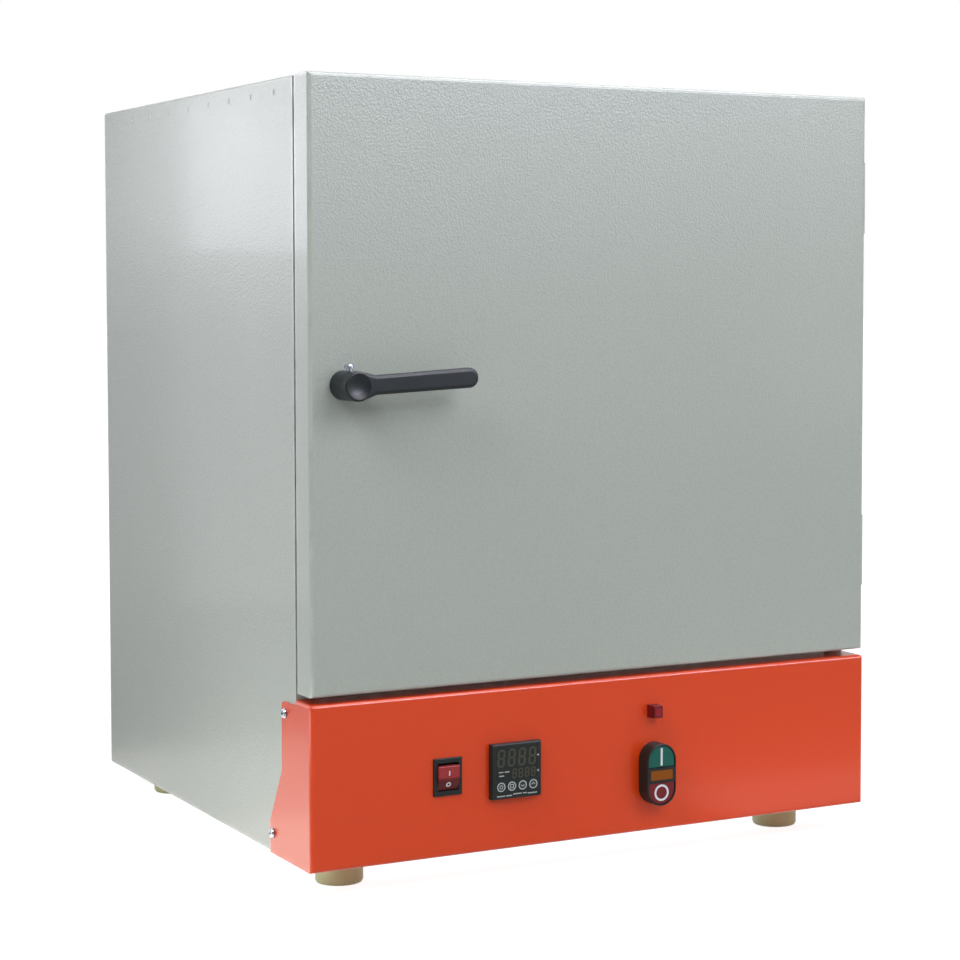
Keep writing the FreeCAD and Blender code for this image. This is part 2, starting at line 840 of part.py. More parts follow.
# Partition: the plate between the electrical compartment and the chamber's insulation.
def partition_plate():
    plate = block("partition_sheet_metal", ("-inner_x", "inner_x"),
                  ("frame_back_y", "shell_rear_y - shell_sheet"),
                  ("partition_z", "partition_top_z"))
    hole = rod("partition_wire_hole", "+z", "wire_hole_radius", "3 * overrun",
               "inner_x - wire_hole_inset", "(plate_back_y + shell_rear_y) / 2",
               "partition_z - overrun")
    return cut("partition_plate", plate, hole)


def heater_ends():
    """The two ends of the heater's ring, as formulas for X and Z."""
    half = "(360 - heater_sweep) / 2"
    across = f"heater_ring_radius * sin({half})"
    down = f"chamber_mid_z - heater_ring_radius * cos({half})"
    return [(f"-({across})", down), (across, down)]


def wall_holes(owner, start, shaft_hole):
    """The round ways through the chamber's back wall and what stands behind it."""
    tools = [rod(f"{owner}_shaft_way", "+y", shaft_hole, "cabinet_depth / 4",
                 "0", start, "chamber_mid_z"),
             rod(f"{owner}_probe_way", "+y", "probe_radius + fit", "cabinet_depth / 4",
                 "probe_x", start, "probe_z"),
             rod(f"{owner}_vent_way", "+y", "vent_radius + fit", "cabinet_depth / 4",
                 "vent_x", start, "vent_z")]
    for number, (x, z) in enumerate(heater_ends()):
        tools.append(rod(f"{owner}_heater_way_{number}", "+y",
                         "heater_rod_radius + heater_hole_gap", "cabinet_depth / 4",
                         x, start, z))
    return tools


# Chamber: a stainless box, open at the front, with a lip that lies behind the front frame.
def chamber():
    body = solid_body("chamber_box", "XZ_Plane",
                      rectangle(("-chamber_wall_x", "chamber_wall_x"),
                                ("chamber_under_z", "chamber_over_z")),
                      "frame_back_y", "chamber_back_y")
    add(body, "chamber_front_lip", "XZ_Plane",
        rectangle(("-(chamber_x + chamber_lip)", "chamber_x + chamber_lip"),
                  ("chamber_floor_z - chamber_lip", "chamber_top_z + chamber_lip")),
        "frame_back_y", "frame_back_y + chamber_sheet")
    carve(body, "chamber_inside", "XZ_Plane",
          rectangle(("-chamber_x", "chamber_x"), ("chamber_floor_z", "chamber_top_z")),
          "frame_back_y - overrun", "chamber_rear_y")
    return cut("chamber", body, *wall_holes("chamber", "chamber_rear_y - overrun",
                                            "shaft_hole_radius"))


# Insulation: five slabs of mineral wool that fill the space round the chamber.
def insulation():
    wool_front = "frame_back_y + chamber_sheet"
    side_low = ("partition_top_z", "roof_z")
    left = block("wool_left", ("-inner_x", "-chamber_wall_x"), (wool_front, "plate_y"), side_low)
    pocket = block("latch_pocket", ("-inner_x - overrun", "handle_x + tongue_length + slot_gap"),
                   ("frame_back_y", "frame_back_y + latch_pocket_depth"),
                   ("handle_z - latch_pocket_half", "handle_z + latch_pocket_half"))
    keep("insulation_left", cut("insulation_left", left, pocket))
    keep("insulation_right", block("insulation_right", ("chamber_wall_x", "inner_x"),
                                   (wool_front, "plate_y"), side_low))
    across = ("-chamber_wall_x", "chamber_wall_x")
    keep("insulation_bottom", block("insulation_bottom", across, (wool_front, "plate_y"),
                                    ("partition_top_z", "chamber_under_z")))
    keep("insulation_top", block("insulation_top", across, (wool_front, "plate_y"),
                                 ("chamber_over_z", "roof_z")))
    rear = block("wool_rear", across, ("chamber_back_y", "plate_y"),
                 ("chamber_under_z", "chamber_over_z"))
    keep("insulation_rear", cut("insulation_rear", rear,
                                *wall_holes("wool", "chamber_back_y - overrun",
                                            "shaft_hole_radius")))


# Rear plate: closes the insulation at the back and carries the fan motor.
def rear_plate():
    plate = block("rear_plate_sheet", ("-inner_x", "inner_x"), ("plate_y", "plate_back_y"),
                  ("partition_top_z", "roof_z"))
    return cut("rear_plate", plate, *wall_holes("plate", "plate_y - overrun",
                                                "shaft_hole_radius"))


# Rear cover: a flat sheet screwed to the folded edges, slotted behind the motor and below.
def rear_cover():
    body = solid_body("cover_sheet_metal", "XZ_Plane",
                      rectangle(("-(side_x - cover_margin)", "side_x - cover_margin"),
                                ("floor_z + cover_margin / 2", "top_z - cover_margin")),
                      "shell_rear_y", "rear_y")
    tools = cover_screw_rods("cover", "cover_screw_radius + fit")
    for bank, middle in (("motor", "chamber_mid_z"), ("low", "(tray_z + partition_z) / 2")):
        for column, shift in (("left", "-0.6"), ("right", "0.6")):
            for number in range(-4, 5):
                slot_z = f"{middle} + {number} * cover_slot_pitch"
                x = f"{shift} * cover_slot_length"
                tools.append(block(f"cover_slot_{bank}_{column}_{number + 4}",
                                   (f"{x} - cover_slot_length / 2",
                                    f"{x} + cover_slot_length / 2"),
                                   ("shell_rear_y - overrun", "rear_y + overrun"),
                                   (slot_z, f"{slot_z} + cover_slot_width")))
    tools.append(rod("cover_vent_way", "+y", "vent_radius + fit", "2 * overrun",
                     "vent_x", "rear_y - overrun", "vent_z"))
    tools.append(block("cover_inlet_way",
                       ("inlet_x - inlet_body_width / 2 - fit",
                        "inlet_x + inlet_body_width / 2 + fit"),
                       ("shell_rear_y - overrun", "rear_y + overrun"),
                       ("inlet_z - inlet_body_height / 2 - fit",
                        "inlet_z + inlet_body_height / 2 + fit")))
    for number, (x, z) in enumerate(inlet_screw_places()):
        tools.append(rod(f"cover_inlet_hole_{number}", "+y", "cover_screw_radius + fit",
                         "2 * overrun", x, "rear_y - overrun", z))
    return cut("rear_cover", body, *tools)


def inlet_screw_places():
    reach = "inlet_flange_width / 2 - inlet_screw_inset"
    return [(f"inlet_x - ({reach})", "inlet_z"), (f"inlet_x + ({reach})", "inlet_z")]


# Appliance inlet: a flanged socket with three blades, for a detachable mains lead.
def appliance_inlet():
    flange = solid_body("inlet_flange_moulding", "XZ_Plane",
                        rectangle(("inlet_x - inlet_flange_width / 2",
                                   "inlet_x + inlet_flange_width / 2"),
                                  ("inlet_z - inlet_flange_height / 2",
                                   "inlet_z + inlet_flange_height / 2")),
                        "rear_y", "rear_y + inlet_flange")
    round_edges(flange, "inlet_flange_corners", "inlet_screw_inset",
                {"x": "inlet_x - inlet_flange_width / 2", "z":
                 "inlet_z - inlet_flange_height / 2"},
                {"x": "inlet_x - inlet_flange_width / 2", "z":
                 "inlet_z + inlet_flange_height / 2"},
                {"x": "inlet_x + inlet_flange_width / 2", "z":
                 "inlet_z - inlet_flange_height / 2"},
                {"x": "inlet_x + inlet_flange_width / 2", "z":
                 "inlet_z + inlet_flange_height / 2"})
    shroud = block("inlet_shroud",
                   ("inlet_x - inlet_body_width / 2", "inlet_x + inlet_body_width / 2"),
                   ("rear_y + inlet_flange - inlet_body_depth", "rear_y"),
                   ("inlet_z - inlet_body_height / 2", "inlet_z + inlet_body_height / 2"))
    socket = block("inlet_socket",
                   ("inlet_x - inlet_socket_width / 2", "inlet_x + inlet_socket_width / 2"),
                   ("rear_y + inlet_flange - inlet_socket_depth",
                    "rear_y + inlet_flange + overrun"),
                   ("inlet_z - inlet_socket_height / 2", "inlet_z + inlet_socket_height / 2"))
    holes = [rod(f"inlet_screw_way_{number}", "+y", "cover_screw_radius + fit", "3 * overrun",
                 x, "rear_y - overrun", z)
             for number, (x, z) in enumerate(inlet_screw_places())]
    moulding = cut("inlet_moulding", fuse("inlet_whole", flange, shroud), socket, *holes)
    pins = []
    for number, rise in ((-1, "-inlet_pin_offset"), (0, "inlet_pin_offset"),
                         (1, "-inlet_pin_offset")):
        x = f"inlet_x + {number} * inlet_pin_pitch"
        z = f"inlet_z + {rise}"
        root = "rear_y + inlet_flange - inlet_socket_depth"
        pins.append(block(f"inlet_pin_{number + 1}",
                          (f"{x} - inlet_pin_width / 2", f"{x} + inlet_pin_width / 2"),
                          (f"{root} - inlet_flange", f"{root} + inlet_pin_length"),
                          (f"{z} - inlet_pin_height / 2", f"{z} + inlet_pin_height / 2")))
    return fuse("appliance_inlet", moulding, *pins)


# Shelf rails: a stainless plate on each side wall with four folded ledges.
def shelf_rail():
    y = ("frame_back_y + rail_front_inset", "baffle_y - rail_rear_gap")
    pieces = [block("rail_plate", ("-chamber_x", "-chamber_x + rail_sheet"), y,
                    ("chamber_floor_z + rail_end_inset", "chamber_top_z - rail_end_inset"))]
    for number in range(4):
        z = ledge_z(number)
        pieces.append(block(f"rail_ledge_{number}", ("-chamber_x", "-chamber_x + ledge_width"),
                            y, (f"{z} - ledge_sheet", z)))
    return fuse("rail_folded", *pieces)


def ledge_z(number):
    """The top of a ledge, counted from the lowest one."""
    return f"chamber_floor_z + ledge_inset + {number} * ledge_pitch"


# Shelves: a rod frame with wires welded across it, resting on a pair of ledges.
def shelf(name, level):
    side = "chamber_x - rail_sheet - shelf_side_gap - shelf_rod"
    front = "frame_back_y + rail_front_inset + shelf_end_inset"
    back = "baffle_y - rail_rear_gap - shelf_end_inset"
    z = f"{ledge_z(level)} + shelf_rod"
    pieces = []
    for sign in ("-1", "1"):
        pieces.append(rod(f"{name}_side_{sign}", "+y", "shelf_rod", f"({back}) - ({front})",
                          f"{sign} * ({side})", front, z))
    for label, y in (("front", front), ("middle", f"(({front}) + ({back})) / 2"),
                     ("back", back)):
        pieces.append(rod(f"{name}_{label}", "+x", "shelf_rod", f"2 * ({side})",
                          f"-({side})", y, z))
        if label == "middle":
            continue
        for sign in ("-1", "1"):
            pieces.append(ball(f"{name}_{label}_corner_{sign}", "shelf_rod",
                               f"{sign} * ({side})", y, z))
    pieces = [fuse(f"{name}_frame", *pieces)]
    wire_z = f"{z} + shelf_rod + shelf_wire - weld_sink"
    for number in range(1, 16):
        pieces.append(rod(f"{name}_wire_{number}", "+y", "shelf_wire",
                          f"({back}) - ({front}) + 2 * shelf_wire",
                          f"({number} / 8 - 1) * ({side})",
                          f"({front}) - shelf_wire", wire_z))
    return fuse(name, *pieces)


# Rear baffle: hides the heater and fan; air goes in through the holes and out past its sides.
def rear_baffle():
    half = "chamber_x - baffle_side_gap"
    z = ("chamber_floor_z + play", "chamber_top_z - play")
    whole = block("baffle_block", (f"-({half})", half), ("baffle_y", "chamber_rear_y - play"), z)
    inside = block("baffle_inside", (f"-({half}) - overrun", f"{half} + overrun"),
                   ("baffle_y + baffle_sheet", "chamber_rear_y + overrun"),
                   (f"{z[0]} + baffle_sheet", f"{z[1]} - baffle_sheet"))
    tools = [inside,
             rod("baffle_probe_way", "+y", "probe_radius + play", "2 * overrun",
                 "probe_x", "baffle_y - overrun", "probe_z"),
             rod("baffle_hole_middle", "+y", "baffle_hole_radius", "2 * overrun",
                 "0", "baffle_y - overrun", "chamber_mid_z")]
    for ring in range(1, 5):
        for number in range(6 * ring):
            angle = f"{number} * {60 / ring:g}"
            tools.append(rod(f"baffle_hole_{ring}_{number}", "+y", "baffle_hole_radius",
                             "2 * overrun", f"{ring} * baffle_ring_pitch * cos({angle})",
                             "baffle_y - overrun",
                             f"chamber_mid_z + {ring} * baffle_ring_pitch * sin({angle})"))
    return cut("rear_baffle", whole, *tools)


# Ring heater: a tubular element round the fan wheel, with both ends through the back wall.
def ring_heater():
    ring = doc.addObject("Part::Torus", "heater_ring")
    bind(ring, Radius1="heater_ring_radius", Radius2="heater_rod_radius",
         Angle3="heater_sweep")
    tilt = FreeCAD.Rotation(DIRECTIONS["+z"], DIRECTIONS["-y"])
    start = FreeCAD.Rotation(DIRECTIONS["+z"], -90 + (360 - value("heater_sweep")) / 2)
    ring.Placement = FreeCAD.Placement(FreeCAD.Vector(), tilt.multiply(start))
    place(ring, "0", "heater_y", "chamber_mid_z")
    pieces = [ring]
    for number, (x, z) in enumerate(heater_ends()):
        pieces.append(ball(f"heater_bend_{number}", "heater_rod_radius", x, "heater_y", z))
        pieces.append(rod(f"heater_leg_{number}", "+y", "heater_rod_radius",
                          "plate_back_y - heater_y + heater_tail", x, "heater_y", z))
    return fuse("ring_heater", *pieces)


# Fan wheel and shaft: eight straight blades on a disc, turned by the motor behind the wall.
def fan_wheel():
    disc = rod("fan_disc", "+y", "fan_radius", "fan_disc_sheet", "0", "fan_disc_y",
               "chamber_mid_z")
    hub = rod("fan_hub", "+y", "fan_hub_radius", "fan_hub_depth", "0",
              "fan_disc_y + fan_disc_sheet - fan_hub_depth", "chamber_mid_z")
    shaft = rod("fan_shaft", "+y", "shaft_radius",
                "plate_back_y + motor_bearing_depth - fan_disc_y", "0", "fan_disc_y",
                "chamber_mid_z")
    pieces = [disc, hub, shaft]
    for number in range(8):
        blade = doc.addObject("Part::Box", f"fan_blade_{number}")
        bind(blade, Length="fan_blade_length", Width="fan_blade_depth",
             Height="fan_blade_sheet")
        angle = 45 * number
        turn = FreeCAD.Rotation(DIRECTIONS["-y"], angle)
        blade.Placement = FreeCAD.Placement(FreeCAD.Vector(), turn)
        start = "(fan_radius - fan_blade_length - fan_blade_sheet)"
        place(blade, f"{start} * cos({angle})", "fan_disc_y - fan_blade_depth",
              f"chamber_mid_z + {start} * sin({angle})")
        pieces.append(blade)
    return fuse("fan_wheel", *pieces)


# Fan motor: a flanged round motor on the rear plate.
def fan_motor():
    flange = block("motor_flange_plate", ("-motor_flange / 2", "motor_flange / 2"),
                   ("plate_back_y", "plate_back_y + motor_flange_sheet"),
                   ("chamber_mid_z - motor_flange / 2", "chamber_mid_z + motor_flange / 2"))
    can = rod("motor_can", "+y", "motor_radius", "motor_length", "0",
              "plate_back_y + motor_flange_sheet", "chamber_mid_z")
    bell = rod("motor_bell", "+y", "motor_bell_radius", "motor_bell_length", "0",
               "plate_back_y + motor_flange_sheet + motor_length", "chamber_mid_z")
    bearing = rod("motor_bearing_bore", "+y", "shaft_radius + fit",
                  "motor_bearing_depth + play + overrun", "0", "plate_back_y - overrun",
                  "chamber_mid_z")
    return cut("fan_motor", fuse("motor_whole", flange, can, bell), bearing)


# Temperature probe: a steel pencil through the back wall, with its gland on the rear plate.
def temperature_probe():
    pencil = rod("probe_pencil", "+y", "probe_radius",
                 "plate_back_y + gland_length - baffle_y + probe_reach",
                 "probe_x", "baffle_y - probe_reach", "probe_z")
    tip = ball("probe_tip", "probe_radius", "probe_x", "baffle_y - probe_reach", "probe_z")
    gland = rod("probe_gland", "+y", "gland_radius", "gland_length", "probe_x",
                "plate_back_y", "probe_z")
    return fuse("temperature_probe", pencil, tip, gland)


# Vent: a steel tube from the chamber's back wall out through the rear cover.
def vent_tube():
    start = "chamber_rear_y - chamber_sheet"
    profile = [("vent_bore", "0"), ("vent_radius", "0"),
               ("vent_radius", f"rear_y - ({start})"), ("vent_collar", f"rear_y - ({start})"),
               ("vent_collar", f"rear_y - ({start}) + vent_wall"),
               ("vent_radius", f"rear_y - ({start}) + vent_wall"),
               ("vent_radius", f"rear_y - ({start}) + vent_stand"),
               ("vent_bore", f"rear_y - ({start}) + vent_stand")]
    return turned("vent_tube", profile, "+y", "vent_x", start, "vent_z")


# Mounting rail: a top-hat profile on the floor of the lower compartment.
def din_rail():
    lip = "rail_profile_width / 2"
    web = "rail_profile_base / 2"
    top = "din_top_z"
    sheet = "rail_profile_sheet"
    corners = [(f"din_y - {lip}", top), (f"din_y - {lip}", f"{top} - {sheet}"),
               (f"din_y - {web}", f"{top} - {sheet}"), (f"din_y - {web}", "tray_z"),
               (f"din_y + {web}", "tray_z"), (f"din_y + {web}", f"{top} - {sheet}"),
               (f"din_y + {lip}", f"{top} - {sheet}"), (f"din_y + {lip}", top),
               (f"din_y + {web} - {sheet}", top), (f"din_y + {web} - {sheet}",
                                                   f"tray_z + {sheet}"),
               (f"din_y - {web} + {sheet}", f"tray_z + {sheet}"),
               (f"din_y - {web} + {sheet}", top)]
    return solid_body("din_rail", "YZ_Plane", corners, "din_x - din_length / 2",
                      "din_x + din_length / 2")


# Contactor: a stepped moulding on the rail.
def contactor():
    half = "contactor_depth / 2"
    step = "contactor_step"
    corners = [(f"din_y - {half}", "din_top_z"), (f"din_y + {half}", "din_top_z"),
               (f"din_y + {half}", f"din_top_z + contactor_height - 2 * {step}"),
               (f"din_y + {half} - {step}", f"din_top_z + contactor_height - 2 * {step}"),
               (f"din_y + {half} - {step}", "din_top_z + contactor_height"),
               (f"din_y - {half} + {step}", "din_top_z + contactor_height"),
               (f"din_y - {half} + {step}", f"din_top_z + contactor_height - 2 * {step}"),
               (f"din_y - {half}", f"din_top_z + contactor_height - 2 * {step}")]
    return solid_body("contactor", "YZ_Plane", corners, "contactor_x",
                      "contactor_x + contactor_width")


# Heat sink of the solid-state relay: a finned extrusion on the rail.
def heat_sink():
    y = ("din_y - sink_depth / 2", "din_y + sink_depth / 2")
    z = ("din_top_z", "din_top_z + sink_height")
    pieces = [block("sink_back", ("sink_x", "sink_x + sink_width"), y,
                    (f"{z[1]} - sink_base", z[1]))]
    for number in range(7):
        x = f"sink_x + {number} * (sink_width - sink_fin) / 6"
        pieces.append(block(f"sink_fin_{number}", (x, f"{x} + sink_fin"), y, z))
    return fuse("heat_sink", *pieces)


def solid_state_relay():
    x = "sink_x + sink_width / 2"
    body = solid_body("solid_state_relay", "XY_Plane",
                      rectangle((f"{x} - relay_width / 2", f"{x} + relay_width / 2"),
                                ("din_y - relay_depth / 2", "din_y + relay_depth / 2")),
                      "din_top_z + sink_height", "din_top_z + sink_height + relay_height")
    return body


# Terminal block: six modules side by side, each with a screw well.
def terminal_block():
    body = block("terminal_body", ("terminal_x", "terminal_x + 6 * terminal_pitch"),
                 ("din_y - terminal_depth / 2", "din_y + terminal_depth / 2"),
                 ("din_top_z", "din_top_z + terminal_height"))
    tools = []
    for number in range(6):
        for sign in ("-1", "1"):
            tools.append(rod(f"terminal_well_{number}_{sign}", "+z", "terminal_bore",
                             "2 * overrun", f"terminal_x + ({number} + 0.5) * terminal_pitch",
                             f"din_y + {sign} * terminal_depth / 3",
                             "din_top_z + terminal_height - overrun"))
    return cut("terminal_block", body, *tools)


# Control panel: a folded tray across the front, with an ear over each side of the cabinet.
def control_panel():
    low = "panel_bottom_z"
    outer = "side_x + panel_sheet"
    ear_top = "panel_top_z - ear_drop"
    body = solid_body(
        "panel_folded", "YZ_Plane",
        [("front_y", low), ("front_y + ear_depth_low", low),
         ("front_y + ear_depth_low", f"{low} + ear_kink_low"),
         ("front_y + ear_depth_top", f"{low} + ear_kink_high"),
         ("front_y + ear_depth_top", ear_top), ("cabinet_front_y", ear_top),
         ("cabinet_front_y", "panel_top_z"), ("front_y", "panel_top_z")],
        f"-({outer})", outer)
    round_edges(body, "ear_corners", "ear_corner",
                {"y": "front_y + ear_depth_top", "z": ear_top})
    round_edges(body, "panel_bends", "panel_bend",
                {"y": "front_y", "x": f"-({outer})"}, {"y": "front_y", "x": outer},
                {"y": "front_y", "z": "panel_top_z"}, {"y": "front_y", "z": low},
                {"x": f"-({outer})", "z": "panel_top_z"}, {"x": outer, "z": "panel_top_z"})
    roof = "panel_top_z - panel_sheet"
    inside = solid_body("panel_inside", "YZ_Plane",
                        rectangle(("panel_back_y", "front_y + ear_depth_low + overrun"),
                                  ("floor_z", roof)), "-side_x", "side_x")
    round_edges(inside, "panel_inner_bends", "panel_bend - panel_sheet", {"y": "panel_back_y"},
                {"x": "-side_x", "z": roof}, {"x": "side_x", "z": roof})
    under = block("panel_under", ("-side_x", "side_x"),
                  ("cabinet_front_y + panel_floor_lap", "front_y + ear_depth_low + overrun"),
                  ("floor_z - overrun", "floor_z + overrun"))
    folded = cut("panel_trimmed", cut("panel_hollowed", body, inside), under)
    tools = [
        block("panel_rocker_way",
              ("switch_x - rocker_body_width / 2 - fit",
               "switch_x + rocker_body_width / 2 + fit"),
              ("front_y - overrun", "front_y + overrun"),
              ("switch_z - rocker_body_height / 2 - fit",
               "switch_z + rocker_body_height / 2 + fit")),
        block("panel_meter_way",
              ("meter_x - controller_body / 2 - fit", "meter_x + controller_body / 2 + fit"),
              ("front_y - overrun", "front_y + overrun"),
              ("switch_z - controller_body / 2 - fit", "switch_z + controller_body / 2 + fit")),
        rod("panel_lamp_way", "+y", "lamp_body_radius + fit", "2 * overrun", "pilot_x",
            "front_y - overrun", "pilot_z"),
        rod("panel_push_way", "+y", "button_neck_radius + fit", "2 * overrun", "push_x",
            "front_y - overrun", "push_z"),
    ]
    for number, (outward, x, y, z) in enumerate(panel_screw_places()):
        inward = {"-x": "+x", "+x": "-x"}[outward]
        tools.append(rod(f"panel_screw_way_{number}", inward, "ear_screw_radius + fit",
                         "3 * overrun", f"{x} * ({outer} + overrun)", y, z))
    return cut("control_panel", folded, *tools)


def panel_screw_places():
    """Direction, side, Y and Z of the panel's four screws."""
    return [(outward, sign, f"front_y + {y}", f"panel_bottom_z + {z}")
            for outward, sign in (("-x", "-1"), ("+x", "1"))
            for y, z in (("ear_screw_high_y", "ear_screw_high_z"),
                         ("ear_screw_low_y", "ear_screw_low_z"))]


def control_panel_screws():
    return group("control_panel_screws", *[
        pan_head_screw(f"panel_screw_{number}", outward, "ear_screw_radius", "ear_screw_head",
                       "ear_screw_head_height", "ear_screw_length",
                       f"{sign} * (side_x + panel_sheet)", y, z)
        for number, (outward, sign, y, z) in enumerate(panel_screw_places())])


# Rocker switch: a bezel and body through the panel, and a two-faced rocker on a cross pin.
def rocker_housing():
    bezel = solid_body("rocker_bezel_moulding", "XZ_Plane",
                       rectangle(("switch_x - rocker_bezel_width / 2",
                                  "switch_x + rocker_bezel_width / 2"),
                                 ("switch_z - rocker_bezel_height / 2",
                                  "switch_z + rocker_bezel_height / 2")),
                       "front_y - rocker_bezel", "front_y")
    round_edges(bezel, "rocker_bezel_edge", "rocker_bezel / 3", {"y": "front_y - rocker_bezel"})
    body = block("rocker_body",
                 ("switch_x - rocker_body_width / 2", "switch_x + rocker_body_width / 2"),
                 ("front_y", "front_y + rocker_body_depth"),
                 ("switch_z - rocker_body_height / 2", "switch_z + rocker_body_height / 2"))
    blades = []
    for number in (-1, 0, 1):
        z = f"switch_z + {number} * blade_pitch * 0.8"
        blades.append(block(f"rocker_blade_{number + 1}",
                            ("switch_x - blade_width / 2", "switch_x + blade_width / 2"),
                            ("front_y + rocker_body_depth",
                             "front_y + rocker_body_depth + blade_length"),
                            (f"{z} - blade_sheet / 2", f"{z} + blade_sheet / 2")))
    well = block("rocker_well",
                 ("switch_x - rocker_width / 2 - play", "switch_x + rocker_width / 2 + play"),
                 ("front_y - rocker_bezel - overrun",
                  "front_y + rocker_recess_depth"),
                 ("switch_z - rocker_recess_half", "switch_z + rocker_recess_half"))
    pin_way = rod("rocker_pin_way", "+x", "rocker_pin_radius + fit",
                  "rocker_width + 2 * rocker_pin_length + 2 * play",
                  "switch_x - rocker_width / 2 - rocker_pin_length - play",
                  "rocker_pivot_y", "switch_z")
    return cut("rocker_housing", fuse("rocker_whole", bezel, body, *blades), well, pin_way)


def rocker():
    body = doc.addObject("PartDesign::Body", "rocker_moulding")
    half = "rocker_width / 2"
    layer(body, "Pad", "rocker_profile", "YZ_Plane",
          [("-rocker_end", "-rocker_half"), ("-rocker_crest", "0"),
           ("-rocker_end", "rocker_half"), ("rocker_back", "rocker_half * 0.9"),
           ("rocker_keel", "rocker_keel_half"), ("rocker_keel", "-rocker_keel_half"),
           ("rocker_back", "-rocker_half * 0.9")], f"-{half}", half)
    round_edges(body, "rocker_crest_curve", "rocker_crest_round", {"y": "-rocker_crest"})
    round_edges(body, "rocker_edges", "rocker_pin_length",
                {"y": "-rocker_end", "z": "rocker_half"},
                {"y": "-rocker_end", "z": "-rocker_half"})
    pin = rod("rocker_pin", "+x", "rocker_pin_radius", "rocker_width + 2 * rocker_pin_length",
              f"-{half} - rocker_pin_length", "0", "0")
    whole = fuse("rocker", body, pin)
    whole.Placement.Rotation = FreeCAD.Rotation(DIRECTIONS["+x"], 1)
    bind(whole, Placement__Rotation__Angle="rocker_tilt")
    return place(whole, "switch_x", "rocker_pivot_y", "switch_z")


# Temperature controller: a square face in front of the panel and a long body behind it.
def controller_housing():
    half = "controller_face / 2"
    face = solid_body("controller_bezel", "XZ_Plane",
                      rectangle((f"meter_x - {half}", f"meter_x + {half}"),
                                (f"switch_z - {half}", f"switch_z + {half}")),
                      "meter_face_y", "front_y")
    round_edges(face, "controller_edges", "controller_round", {"y": "meter_face_y"})
    body = block("controller_case",
                 ("meter_x - controller_body / 2", "meter_x + controller_body / 2"),
                 ("front_y", "front_y + controller_depth"),
                 ("switch_z - controller_body / 2", "switch_z + controller_body / 2"))
    tools = [block("controller_window_seat",
                   ("meter_x - window_width / 2", "meter_x + window_width / 2"),
                   ("meter_face_y - overrun", "meter_face_y + window_sheet"),
                   ("switch_z + window_rise - window_height / 2",
                    "switch_z + window_rise + window_height / 2"))]
    for number in range(4):
        tools.append(rod(f"key_well_{number}", "+y", "key_radius + play",
                         "overrun + key_depth + 2 * key_travel", key_x(number),
                         "meter_face_y - overrun", "switch_z - key_drop"))
    return cut("controller_housing", fuse("controller_whole", face, body), *tools)


def key_x(number):
    """The middle of a key, counted from the left."""
    return f"meter_x + ({number} - 1.5) * key_pitch"


def controller_window():
    return block("controller_window",
                 ("meter_x - window_width / 2", "meter_x + window_width / 2"),
                 ("meter_face_y", "meter_face_y + window_sheet"),
                 ("switch_z + window_rise - window_height / 2",
                  "switch_z + window_rise + window_height / 2"))


def controller_key(number):
    profile = [("0", "0"), ("key_radius", "0"), ("key_radius", "key_depth - key_travel"),
               ("key_radius - key_travel", "key_depth"), ("0", "key_depth")]
    return turned(f"controller_key_{number + 1}", profile, "-y", key_x(number),
                  "meter_face_y - key_stand + key_depth", "switch_z - key_drop")


# Pilot lamp: a small tapered lens in front of the panel and a round body through it.
def pilot_lamp():
    body = doc.addObject("PartDesign::Body", "lamp_moulding")
    base = rectangle(("-lamp_base_width / 2", "lamp_base_width / 2"),
                     ("-lamp_base_height / 2", "lamp_base_height / 2"))
    rim = outline(body, "lamp_rim_outline", "XZ_Plane", base, "lamp_rim")
    face = outline(body, "lamp_face_outline", "XZ_Plane",
                   rectangle(("-lamp_face_width / 2", "lamp_face_width / 2"),
                             ("-lamp_face_height / 2", "lamp_face_height / 2")), "lamp_proud")
    loft = body.newObject("PartDesign::AdditiveLoft", "lamp_taper")
    loft.Profile = rim
    loft.Sections = [face]
    loft.Ruled = True
    doc.recompute()
    layer(body, "Pad", "lamp_rim_pad", "XZ_Plane", base, "-lamp_rim", "0")
    place(body, "pilot_x", "front_y", "pilot_z")
    barrel = rod("lamp_barrel", "+y", "lamp_body_radius", "lamp_body_depth", "pilot_x",
                 "front_y", "pilot_z")
    return fuse("pilot_lamp", body, barrel)


# Double push-button: an upright rounded housing with a start cap, a lens and a stop cap.
def push_tablet(name, half_width, low_z, high_z, low_y, high_y, rounds):
    """An upright slab centred on the push-button, with rounded ends where asked."""
    body = solid_body(name, "XZ_Plane",
                      rectangle((f"push_x - ({half_width})", f"push_x + ({half_width})"),
                                (low_z, high_z)), low_y, high_y)
    wanted = [{"x": f"push_x + {sign} * ({half_width})", "z": z}
              for sign in ("-1", "1") for z in rounds]
    round_edges(body, name + "_ends", f"({half_width}) - fit", *wanted)
    return body


def button_housing():
    low = "push_z - button_height / 2"
    high = "push_z + button_height / 2"
    shell = push_tablet("push_shell", "button_width / 2", low, high, "push_face_y", "front_y",
                        (low, high))
    round_edges(shell, "push_front_edge", "button_edge", {"y": "push_face_y"})
    neck = rod("push_neck", "+y", "button_neck_radius", "button_neck_depth", "push_x",
               "front_y", "push_z")
    floor_y = "push_face_y + button_recess + button_cap_depth + button_travel + play"
    top = "push_z + push_inner_height"
    bottom = "push_z - push_inner_height"
    start_well = push_tablet("start_well", "push_inner_half", "push_z + button_green_floor",
                             top, "push_face_y - overrun", floor_y, (top,))
    stop_well = push_tablet("stop_well", "push_inner_half", bottom, "push_z - button_red_top",
                            "push_face_y - overrun", floor_y, (bottom,))
    lens_seat = block("lens_seat", ("push_x - lens_width / 2", "push_x + lens_width / 2"),
                      ("push_face_y - overrun", "push_face_y + lens_depth"),
                      ("push_z - lens_height / 2", "push_z + lens_height / 2"))
    return cut("button_housing", fuse("push_whole", shell, neck), start_well, stop_well,
               lens_seat)


